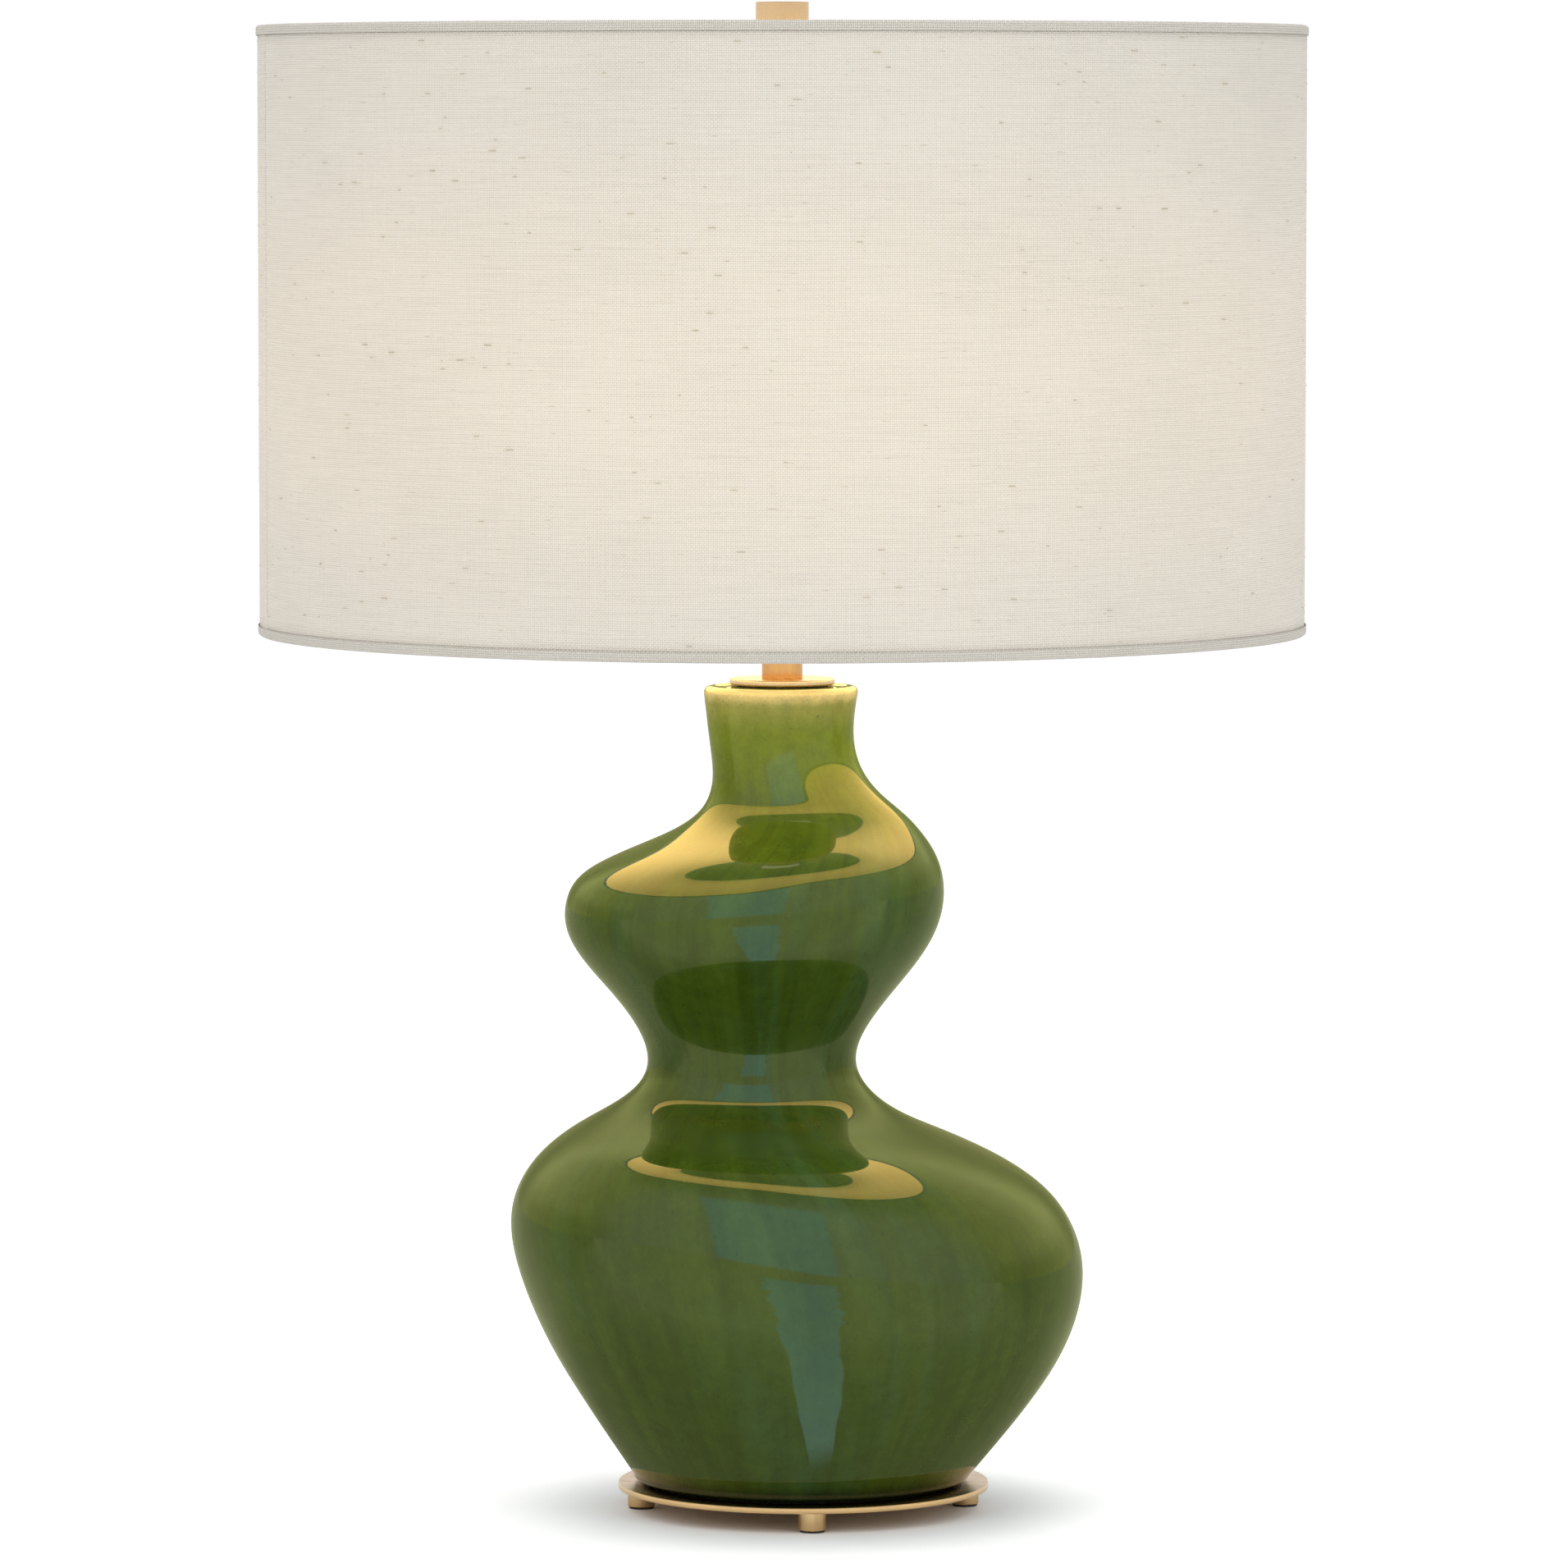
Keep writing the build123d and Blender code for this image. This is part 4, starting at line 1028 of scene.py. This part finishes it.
def nep_tree():
    """Short thickened fibres that lie along the cloth's level threads."""
    nodes, given, leave = geometry_tree("neps", {
        "Count": 400, "Radius": 0.24, "Base": 0.41, "Height": 0.27, "Length": 0.004,
        "Thickness": 0.00022, "Seed": 7, "Material": MATERIAL})

    def dice(first, last, draw):
        return nodes.take(1, "FunctionNodeRandomValue", {
            2: first, 3: last, "Seed": given["Seed"] + draw}, data_type="FLOAT")

    points = nodes.add("GeometryNodePoints", {"Count": given["Count"]})
    turn, rise = dice(0.0, 2 * math.pi, 0.0), dice(0.0, 1.0, 11.0)
    spread = nodes.add("GeometryNodeSetPosition", {
        "Geometry": points,
        "Position": nodes.on_circle(given["Radius"], turn, given["Base"] + rise * given["Height"])})
    fibre = nodes.add("GeometryNodeMeshCylinder", {
        "Vertices": 5, "Radius": given["Thickness"], "Depth": given["Length"]})
    # the fibre lies level along the cloth: laid over, then turned to follow the drum
    laid = nodes.add("GeometryNodeInstanceOnPoints", {
        "Points": spread, "Instance": fibre,
        "Rotation": nodes.vector(0.0, math.pi / 2, turn + math.pi / 2),
        "Scale": nodes.vector(dice(0.6, 1.3, 23.0), dice(0.6, 1.3, 31.0), dice(0.25, 1.6, 47.0))})
    return finish_tree(nodes, laid, given["Material"], leave)


# ---------------------------------------------------------------- operators

class LAMP_OT_body(bpy.types.Operator):
    """Ceramic double gourd with its glaze"""
    bl_idname = "lamp.body"
    bl_label = "Ceramic body"

    def execute(self, context):
        body = context.scene.lamp_body
        bottom, top = extent("ceramic_body").low.z, extent("ceramic_body").high.z
        heights = [bottom / MM] + [station[0] for station in BODY_STATIONS[1:]]
        curves = [smooth(heights, [station[column] for station in BODY_STATIONS])
                  for column in (1, 2, 3)]

        def section(z, inset=0.0):
            """Ring at height z, drawn in by inset from the true wall."""
            centre, wide, deep = (curve(z / MM) * MM for curve in curves)
            return centre, wide - inset, deep - inset, z

        def cavity(z):
            centre, wide, deep, z = section(z)
            slopes = [(above - below) / (2 * MM)
                      for above, below in zip(section(z + MM)[1:3], section(z - MM)[1:3])]
            wide, deep = (half - body.wall * math.hypot(1, slope)
                          for half, slope in zip((wide, deep), slopes))
            return centre, wide, deep, z

        lip, foot, hole = body.lip_round, body.foot_round, body.rod_hole
        seat = extent("neck_gasket").radius + 0.001
        quarter = evenly(0.0, math.pi / 2, 9)[1:]
        centre, wide, deep, z = section(top, lip)
        rings = [(0.0, hole, hole, top)]
        # from the rod hole over the seat and the shallow dish to the lip
        for share in evenly(0.1, 1.0, 5):
            r = hole + (seat - hole) * share
            rings.append((centre * share, r, r, top))
        for share in evenly(0.0, 1.0, 14)[1:]:
            sunk = body.lip_dish * math.sin(math.pi * share) ** 2
            rings.append((centre, seat + (wide - seat) * share, seat + (deep - seat) * share,
                          top - sunk))
        rings += [section(top - lip * (1 - math.cos(turn)), lip * (1 - math.sin(turn)))
                  for turn in quarter]
        rings += [section(z) for z in evenly(top - lip, bottom + foot, body.wall_rings)[1:]]
        # round the foot and back in below
        centre, wide, deep, z = section(bottom + foot)
        for turn in quarter:
            inset = foot * (1 - math.cos(turn)) * 1.9
            rings.append((section(bottom)[0], wide - inset, deep - inset,
                          bottom + foot * (1 - math.sin(turn))))
        centre, wide, deep, z = rings[-1]
        for share in evenly(1.0, 0.0, 6)[1:]:
            rings.append((centre * share, hole + (wide - hole) * share,
                          hole + (deep - hole) * share, bottom))
        outside = len(rings)
        floor, crown = bottom + BODY_FLOOR, top - BODY_CROWN
        rings += [(0.0, hole, hole, floor), *map(cavity, evenly(floor, crown, CAVITY_RINGS)),
                  (0.0, hole, hole, crown)]
        mesh = ring_mesh("ceramic_body_glazed", body.segments, True,
                         [(x, 0.0, wide, deep, z) for x, wide, deep, z in rings])
        keep_vectors(mesh, "flow", [
            (across, along, distance)
            for distance in travelled([(wide, z) for x, wide, deep, z in rings])
            for across, along in circle(body.segments)])
        # the thrown wall wanders a little between lip and foot
        for vertex in mesh.vertices[:outside * body.segments]:
            z = vertex.co.z
            ease = min(1.0, (top - z) / 0.03, (z - bottom) / 0.03)
            if ease > 0:
                out = Vector((vertex.co.x - section(z)[0], vertex.co.y, 0)).normalized()
                wander = noise.noise(vertex.co * 16) + 0.5 * noise.noise(vertex.co * 38)
                vertex.co += out * wander * body.unevenness * ease
        piece = new_piece("ceramic_body_glazed", mesh)
        sharpen(piece, 50)
        dress(piece, glazed_ceramic(), "root", "glazed_ceramic", "ceramic_body")
        return {"FINISHED"}


class LAMP_OT_stand(bpy.types.Operator):
    """Brass base plate, turned feet and felt pads"""
    bl_idname = "lamp.stand"
    bl_label = "Stand"

    def execute(self, context):
        edge = context.scene.lamp_metal.edge_round
        plate = extent("base_plate")
        seat = plate.low.z
        turned("base_plate_turned", "base_plate", sleeve(plate, 0.0, edge * 1.4, edge * 1.4),
               level_brass(), segments=192)
        for number in range(1, 5):
            foot, pad = extent(f"foot_{number}"), extent(f"foot_pad_{number}")
            turned(f"foot_turned_{number}", f"foot_{number}", [
                (0.0, seat), (foot.radius - edge, seat), (foot.radius, seat - edge),
                (foot.radius, foot.low.z, edge), (foot.radius - edge * 2, foot.low.z),
                (0.0, foot.low.z)], upright_brass(), segments=64)
            turned(f"foot_pad_felt_{number}", f"foot_pad_{number}", [
                (0.0, pad.high.z), (pad.radius - edge, pad.high.z, edge),
                (pad.radius, pad.middle.z, edge), (pad.radius - edge, pad.low.z),
                (0.0, pad.low.z)], felt(), slot="felt", segments=48, crisp=False,
                axis=foot.middle)
        paint(felt(), "base_gasket")
        paint(plated_steel(), "rod_washer_bottom", "rod_nut_bottom", "threaded_rod", "rod_nut_top")
        paint(insulator(), "cord_bushing")
        return {"FINISHED"}


class LAMP_OT_neck(bpy.types.Operator):
    """Gasket, brass disc and tube between body and shade"""
    bl_idname = "lamp.neck"
    bl_label = "Neck"

    def execute(self, context):
        edge = context.scene.lamp_metal.edge_round
        disc, tube = extent("neck_disc"), extent("neck_tube")
        turned("neck_disc_turned", "neck_disc", sleeve(disc, DISC_HOLE, edge * 2.6, edge * 2.0),
               brass_painted_paler(), segments=128, closed=True, axis=ROD_AXIS)
        turned("neck_tube_brushed", "neck_tube",
               sleeve(tube, tube.radius - TUBE_WALL, edge, edge / 2), tube_brass_painted_lamplight(), closed=True,
               axis=ROD_AXIS)
        paint(gasket_rubber(), "neck_gasket")
        paint(upright_brass(), "tube_cap")
        return {"FINISHED"}


class LAMP_OT_harp(bpy.types.Operator):
    """Saddle, harp, ferrules and stud"""
    bl_idname = "lamp.harp"
    bl_label = "Harp"

    def execute(self, context):
        harp = extent("harp")
        wire = (harp.high.y - harp.low.y) / 2
        foot = harp.low.z
        out, up = HARP_SHOULDER
        corners = [(HARP_LEG, 0, foot + HARP_STRAIGHT), (out, 0, foot + up),
                   (HARP_CROWN, 0, harp.high.z - wire)]
        half = [((HARP_LEG, 0, foot), 0), *zip(corners, HARP_BENDS)]
        other = [((-x, y, z), r) for (x, y, z), r in reversed(half)]
        loop = tube_along("harp_wire", rounded(half + other, 14), wire, 20)
        dress(loop, upright_brass(), "root", "satin_brass", "harp")
        for side in ("left", "right"):
            node = f"harp_ferrule_{side}"
            sleeve = extent(node)
            bore = sleeve.radius - FERRULE_WALL
            turned(node + "_turned", node, [
                (bore, sleeve.high.z, 0.0002), (sleeve.radius, sleeve.high.z, 0.0004),
                (sleeve.radius, sleeve.low.z, 0.0004), (bore, sleeve.low.z, 0.0002)],
                upright_brass(), f"ferrule_{side}", segments=64, closed=True)
        paint(level_brass(), "harp_saddle")
        paint(upright_brass(), "harp_stud")
        return {"FINISHED"}


class LAMP_OT_socket(bpy.types.Operator):
    """Socket with its cap, shell, insulator and switch"""
    bl_idname = "lamp.socket"
    bl_label = "Socket"

    def execute(self, context):
        paint(socket_brass(), "socket_cap", "socket_shell", "socket_contact", "switch_collar")
        paint(plated_steel(), "socket_cap_screw")
        paint(card(), "socket_liner")
        paint(insulator(), "socket_body", "switch_knob")
        paint(lamp_cap_metal(), "socket_screw_shell")
        return {"FINISHED"}


class LAMP_OT_bulb(bpy.types.Operator):
    """Frosted bulb with its screw cap"""
    bl_idname = "lamp.bulb"
    bl_label = "Bulb"

    def execute(self, context):
        glass = extent("bulb_glass")
        radius = glass.radius
        centre = glass.high.z - radius
        points = [(radius * math.sin(t), centre + radius * math.cos(t))
                  for t in evenly(0.0, math.radians(115), 30)]
        start_r, start_z = points[-1]
        fall = centre - BULB_NECK_BELOW - start_z
        for share in evenly(0.0, 1.0, 16)[1:]:
            ease = share * share * (3 - 2 * share)
            lean = math.sin(math.radians(25)) * (1 - share) * share * 0.006
            points.append((start_r + (BULB_NECK - start_r) * ease - lean, start_z + fall * share))
        points += [(BULB_NECK, glass.low.z), (0.0, glass.low.z)]
        envelope = lathe("bulb_envelope", points)
        sharpen(envelope, 60)
        dress(envelope, frosted_glass(), "bulb", "bulb_glass", "bulb_glass")
        paint(lamp_cap_metal(), "bulb_cap")
        paint(socket_brass(), "bulb_tip")
        return {"FINISHED"}


class LAMP_OT_shade_frame(bpy.types.Operator):
    """Wire rings, spider arms and hub of the shade"""
    bl_idname = "lamp.shade_frame"
    bl_label = "Shade frame"

    def execute(self, context):
        for name in ("shade_top_ring", "shade_bottom_ring"):
            ring = extent(name)
            wire = (ring.high.z - ring.low.z) / 2
            path = [((ring.radius - wire) * math.cos(t), (ring.radius - wire) * math.sin(t),
                     ring.low.z + wire) for t in evenly(0.0, 2 * math.pi, 241)[:-1]]
            loop = tube_along(name + "_wire", path, wire, 14, True)
            dress(loop, white_wire(), "shade", "wire", name)
        arm = extent("spider_arm_1")
        thick = arm.radius
        across = extent("shade_top_ring").radius - 2 * wire - thick - ARM_CLEARANCE
        run = arm.low.z + thick
        for number in range(3):
            turn = math.radians(90 + 120 * number)
            corners = [((r * math.cos(turn), r * math.sin(turn), z), bend) for r, z, bend in (
                (extent("spider_hub").radius, run, 0), (across, run, ARM_BEND),
                (across, arm.high.z, 0))]
            name = f"spider_arm_{number + 1}"
            rod = tube_along(name + "_wire", rounded(corners, 10), thick)
            dress(rod, white_wire(), "shade", "wire", name)
        paint(white_wire(), "spider_hub")
        return {"FINISHED"}


def hem_outline(rim, depth, shade_radius, inner, bend):
    """U-shaped section of a folded rim; depth is negative for the top rim."""
    wall = HEM_WALL
    step = math.copysign(wall, depth)
    points = outline([
        (shade_radius - wall, rim + depth), (shade_radius, rim + depth, wall * 0.45),
        (shade_radius, rim, bend), (inner, rim, bend), (inner, rim + depth, wall * 0.45),
        (inner + wall, rim + depth), (inner + wall, rim + step, bend - wall),
        (shade_radius - wall, rim + step, bend - wall)], True)
    return points if depth > 0 else points[::-1]


def hem_piece(name, node, ring, rim, depth):
    """Folded trim on one rim, with the cloth's coordinates kept on it."""
    radius = extent(node).radius
    wire = (extent(ring).high.z - extent(ring).low.z) / 2
    inner = extent(ring).radius - 2 * wire - RING_CLEARANCE
    points = hem_outline(rim, depth, radius, inner, bpy.context.scene.lamp_shade.hem_round)
    piece = lathe(name, points, segments=SHADE_SEGMENTS, closed=True)
    keep_vectors(piece.data, "cloth", [
        (2 * math.pi * j / SHADE_SEGMENTS * radius, distance, 0.0)
        for distance in travelled(points) for j in range(SHADE_SEGMENTS)])
    return dress(piece, hem_linen(), "shade", "linen", node)


class LAMP_OT_shade_cloth(bpy.types.Operator):
    """Linen cover with its lap seam, hems, neps and the lit lining"""
    bl_idname = "lamp.shade_cloth"
    bl_label = "Shade cloth"

    def execute(self, context):
        shade = context.scene.lamp_shade
        drum = extent("linen_cover")
        height = drum.high.z - drum.low.z
        cover = grow("linen_cover_woven", drum_tree(), {
            "Radius": drum.radius, "Height": height, "Base": drum.low.z,
            "Start": shade.seam_angle - shade.overlap / drum.radius, "Lap": shade.overlap,
            "Step": 0.0003, "Wander": 0.00012, "Across": 560, "Up": 30, "Material": linen()},
            solid=shade.thickness)
        top, bottom = extent("top_hem"), extent("bottom_hem")
        hems = [hem_piece("top_hem_folded", "top_hem", "shade_top_ring", top.high.z,
                          top.low.z - top.high.z),
                hem_piece("bottom_hem_folded", "bottom_hem", "shade_bottom_ring", bottom.low.z,
                          bottom.high.z - bottom.low.z)]
        neps = grow("linen_neps", nep_tree(), {
            "Count": shade.neps, "Radius": drum.radius - 0.00002, "Base": drum.low.z + 0.006,
            "Height": height - 0.012, "Length": 0.0024, "Thickness": 0.0002, "Seed": 5,
            "Material": nep_fibre()})
        dress(neps, None, "shade", "linen")
        dress(cover, None, "shade", "linen", "linen_cover")
        panel = extent("shade_panel")
        turned("shade_lining", "shade_panel", sleeve(panel, panel.radius - LINING_WALL),
               lit_lining(), "shade", "shade_liner", SHADE_SEGMENTS, True)
        return {"FINISHED"}


class LAMP_OT_finial(bpy.types.Operator):
    """Plain turned finial"""
    bl_idname = "lamp.finial"
    bl_label = "Finial"

    def execute(self, context):
        edge = context.scene.lamp_metal.edge_round
        knob = extent("finial")
        bore, depth = FINIAL_BORE
        turned("finial_turned", "finial", [
            (0.0, knob.high.z), (knob.radius, knob.high.z, edge), (knob.radius, knob.low.z, edge),
            (bore, knob.low.z), (bore, knob.low.z + depth), (0.0, knob.low.z + depth)],
            brass_painted_paler(), "finial", segments=128)
        return {"FINISHED"}


class LAMP_OT_threads(bpy.types.Operator):
    """Screw threads on rod, stud and bulb cap"""
    bl_idname = "lamp.threads"
    bl_label = "Threads"

    def execute(self, context):
        tree = thread_tree()
        rod, cap = extent("threaded_rod"), extent("bulb_cap")
        # name, body, slot, material, radius, first and last height, pitch, ridge
        rows = [
            ("rod_thread_top", "root", "steel", plated_steel(), rod.radius,
             extent("rod_nut_top").high.z, rod.high.z - 0.0005, FINE_PITCH, 0.00022),
            ("stud_thread", "root", "satin_brass", upright_brass(), STUD_RADIUS - 0.00012,
             extent("spider_hub").high.z, extent("harp_stud").high.z - 0.001, FINE_PITCH, 0.00016),
            ("bulb_cap_thread", "bulb", "bulb_cap", lamp_cap_metal(), cap.radius - 0.00035,
             cap.low.z + 0.0065, cap.high.z - 0.002, CAP_PITCH, 0.0006),
        ]
        for name, body, slot, material, radius, first, last, pitch, ridge in rows:
            thread = grow(name, tree, {"Radius": radius, "Length": last - first, "Base": first,
                                       "Turns": (last - first) / pitch, "Ridge": ridge,
                                       "Resolution": 32, "Material": material})
            dress(thread, None, body, slot)
        return {"FINISHED"}


def floor_material():
    """Pale floor that keeps the lamp's soft shadow; the glaze mirrors it as a table with painted
    shade and a painted pool of window light.
    """
    studio = bpy.context.scene.lamp_studio
    material, nodes, shader = new_material("studio_floor", Roughness=0.7, Specular_IOR_Level=0.1)
    spot = nodes.place()
    paper = spot.noise(40.0, 4.0).ramp(0.3, 0.7)
    nodes.feed(shader, Base_Color=nodes.mix(paper, linear(246, 246, 246), linear(250, 250, 250)))
    near = nodes.take("AO", "ShaderNodeAmbientOcclusion", {"Distance": CONTACT_REACH})
    lift = nodes.emission(FLOOR_LIFT, near.ramp(0.06, 0.97, 0.0, 0.50))
    lifted = nodes.add("ShaderNodeAddShader", {0: shader, 1: lift})
    ahead = spot.axis("Y")
    # painted shade: the mirrored table is dimmer close to the lamp and behind it
    table = spot.length().ramp(0.10, 0.34, 0.66, 1.25) * ahead.ramp(0.05, -0.28, 0.36, 1.0)
    table = nodes.mix(table, BLACK, studio.gloss_table)
    # a painted pool of window light lies along the mirrored table towards the front, with ragged
    # edges
    reach = ahead * -1.0
    ragged = spot.stretch(9.0, 14.0, 1.0).noise(1.0, 2.0, 0.6) + 0.55
    beam = ((reach - 0.14) * BEAM_SPREAD + BEAM_HALF_WIDTH) * ragged
    lit = (abs(spot.axis("X") - 0.02) / beam).ramp(1.05, 0.9)
    lit = lit * reach.ramp(*BEAM_STARTS) * reach.ramp(*BEAM_ENDS)
    mirrored = nodes.emission(nodes.mix(lit, table, studio.window))
    camera, glossy, singular = nodes.rays("Is Camera Ray", "Is Glossy Ray", "Is Singular Ray")
    seen = nodes.maths("ADD", camera, glossy, clamp=True)
    direct = nodes.mix_shaders(seen, shader, lifted)
    nodes.surface(nodes.mix_shaders(glossy * singular, direct, mirrored))
    return material


class LAMP_OT_studio(bpy.types.Operator):
    """Pale floor, soft lights, white surround and the camera"""
    bl_idname = "lamp.studio"
    bl_label = "Studio"

    def execute(self, context):
        self.floor()
        self.world(context.scene)
        self.lights(context.scene)
        self.camera(context.scene)
        context.scene.view_settings.view_transform = "Standard"
        return {"FINISHED"}

    def floor(self):
        mesh = bpy.data.meshes.new("floor")
        mesh.from_pydata([(FLOOR_REACH * x, FLOOR_REACH * y, 0)
                          for x, y in ((-1, -1), (1, -1), (1, 1), (-1, 1))], [], [(0, 1, 2, 3)])
        mesh.materials.append(floor_material())
        new_piece("floor", mesh)

    def world(self, scene):
        """White to look at. The glaze mirrors a room with a window; brass mirrors white."""
        studio = scene.lamp_studio
        scene.world = bpy.data.worlds.new("studio")
        scene.world.use_nodes = True
        nodes = Nodes(scene.world.node_tree)
        nodes.tree.nodes.clear()
        way = nodes.take("Generated", "ShaderNodeTexCoord")
        across, depth, rise = (way.axis(name) for name in "XYZ")
        front = tuple(studio.gloss_front * c for c in (1.0, 1.0, 0.74)) + (1.0,)
        sides = nodes.mix(rise.ramp(0.05, 0.30), studio.gloss_side, tinted(studio.gloss_side, 1.7))
        room = nodes.mix(depth.ramp(0.20, -0.50), sides, front)
        window = abs(across + 0.10).ramp(*WINDOW_SIDE) * (rise.ramp(*WINDOW_HEAD) * (
            depth.ramp(-0.1, -0.3) * rise.ramp(*WINDOW_SILL)))
        room = nodes.mix(window, room, studio.window)
        ceiling = 1.0 - rise.ramp(0.60, 0.95, 1.0, 0.3)
        room = nodes.mix(ceiling, room, CEILING)
        room = nodes.mix(depth.ramp(0.80, 0.95), room, tinted(studio.gloss_side, 0.55))
        # brushed metal sees the white surround, dimmer overhead
        surround = nodes.grey(rise.ramp(0.45, 0.95, 1.0, 0.72))
        camera, glossy, singular, through = nodes.rays(
            "Is Camera Ray", "Is Glossy Ray", "Is Singular Ray", "Is Transmission Ray")
        level = nodes.mix(glossy, (studio.fill, studio.fill, studio.fill, 1.0),
                          nodes.mix(singular, surround, room))
        level = nodes.mix(nodes.maths("ADD", camera, through, clamp=True), level, WHITE)
        back = nodes.add("ShaderNodeBackground", {"Color": level, "Strength": 1.0})
        nodes.add("ShaderNodeOutputWorld", {"Surface": back}).is_active_output = True

    def lights(self, scene):
        power = scene.lamp_studio.key_power
        rows = [
            ("key_left", (-2.1, -2.6, 1.9), (1.5, 2.0), power * 0.92, (1.0, 0.985, 0.96)),
            ("key_right", (2.3, -2.4, 1.5), (1.3, 1.8), power * 0.78, (0.97, 0.985, 1.0)),
            ("top_soft", (0.0, 0.3, 2.8), (2.2, 2.2), power * 0.78, (1.0, 1.0, 1.0)),
        ]
        for name, spot, size, watts, colour in rows:
            light = bpy.data.lights.new(name, "AREA")
            light.shape = "RECTANGLE"
            light.size, light.size_y = size
            light.energy = watts
            light.color = colour
            lamp = new_piece(name, light)
            lamp.location = spot
            lamp.rotation_euler = (LIGHT_AIM - Vector(spot)).to_track_quat("-Z", "Y").to_euler()
            lamp.visible_glossy = False

    def camera(self, scene):
        studio = scene.lamp_studio
        data = bpy.data.cameras.new("camera")
        data.sensor_width = 36.0
        data.lens = studio.focal_pixels / studio.image_width * data.sensor_width
        data.clip_end = 100.0
        scene.camera = new_piece("camera", data)
        scene.camera.location = (studio.camera_side, -studio.distance, studio.camera_height)
        scene.camera.rotation_euler = (math.pi / 2 - studio.pitch, 0, 0)


class LAMP_PT_panel(bpy.types.Panel):
    """Lists the lamp's groups of pieces"""
    bl_idname = "LAMP_PT_panel"
    bl_label = "Double Gourd Lamp"
    bl_space_type = "VIEW_3D"
    bl_region_type = "UI"
    bl_category = "Lamp"

    def draw(self, context):
        column = self.layout.column(align=True)
        for operator in OPERATORS:
            column.operator(operator.bl_idname)


OPERATORS = (LAMP_OT_studio, LAMP_OT_body, LAMP_OT_stand, LAMP_OT_neck, LAMP_OT_harp,
             LAMP_OT_socket, LAMP_OT_bulb, LAMP_OT_shade_frame, LAMP_OT_shade_cloth,
             LAMP_OT_finial, LAMP_OT_threads)
SETTINGS = {"lamp_body": LampBodySettings, "lamp_shade": LampShadeSettings,
            "lamp_metal": LampMetalSettings, "lamp_studio": LampStudioSettings}


def register():
    for name, group in SETTINGS.items():
        bpy.utils.register_class(group)
        setattr(bpy.types.Scene, name, bpy.props.PointerProperty(type=group))
    for operator in OPERATORS:
        bpy.utils.register_class(operator)
    bpy.utils.register_class(LAMP_PT_panel)


def unregister():
    bpy.utils.unregister_class(LAMP_PT_panel)
    for operator in reversed(OPERATORS):
        bpy.utils.unregister_class(operator)
    for name, group in SETTINGS.items():
        delattr(bpy.types.Scene, name)
        bpy.utils.unregister_class(group)


def main():
    register()
    bpy.ops.lamp.studio()
    bpy.ops.lamp.body()
    bpy.ops.lamp.stand()
    bpy.ops.lamp.neck()
    bpy.ops.lamp.harp()
    bpy.ops.lamp.socket()
    bpy.ops.lamp.bulb()
    bpy.ops.lamp.shade_frame()
    bpy.ops.lamp.shade_cloth()
    bpy.ops.lamp.finial()
    bpy.ops.lamp.threads()


if __name__ == "__main__":
    main()
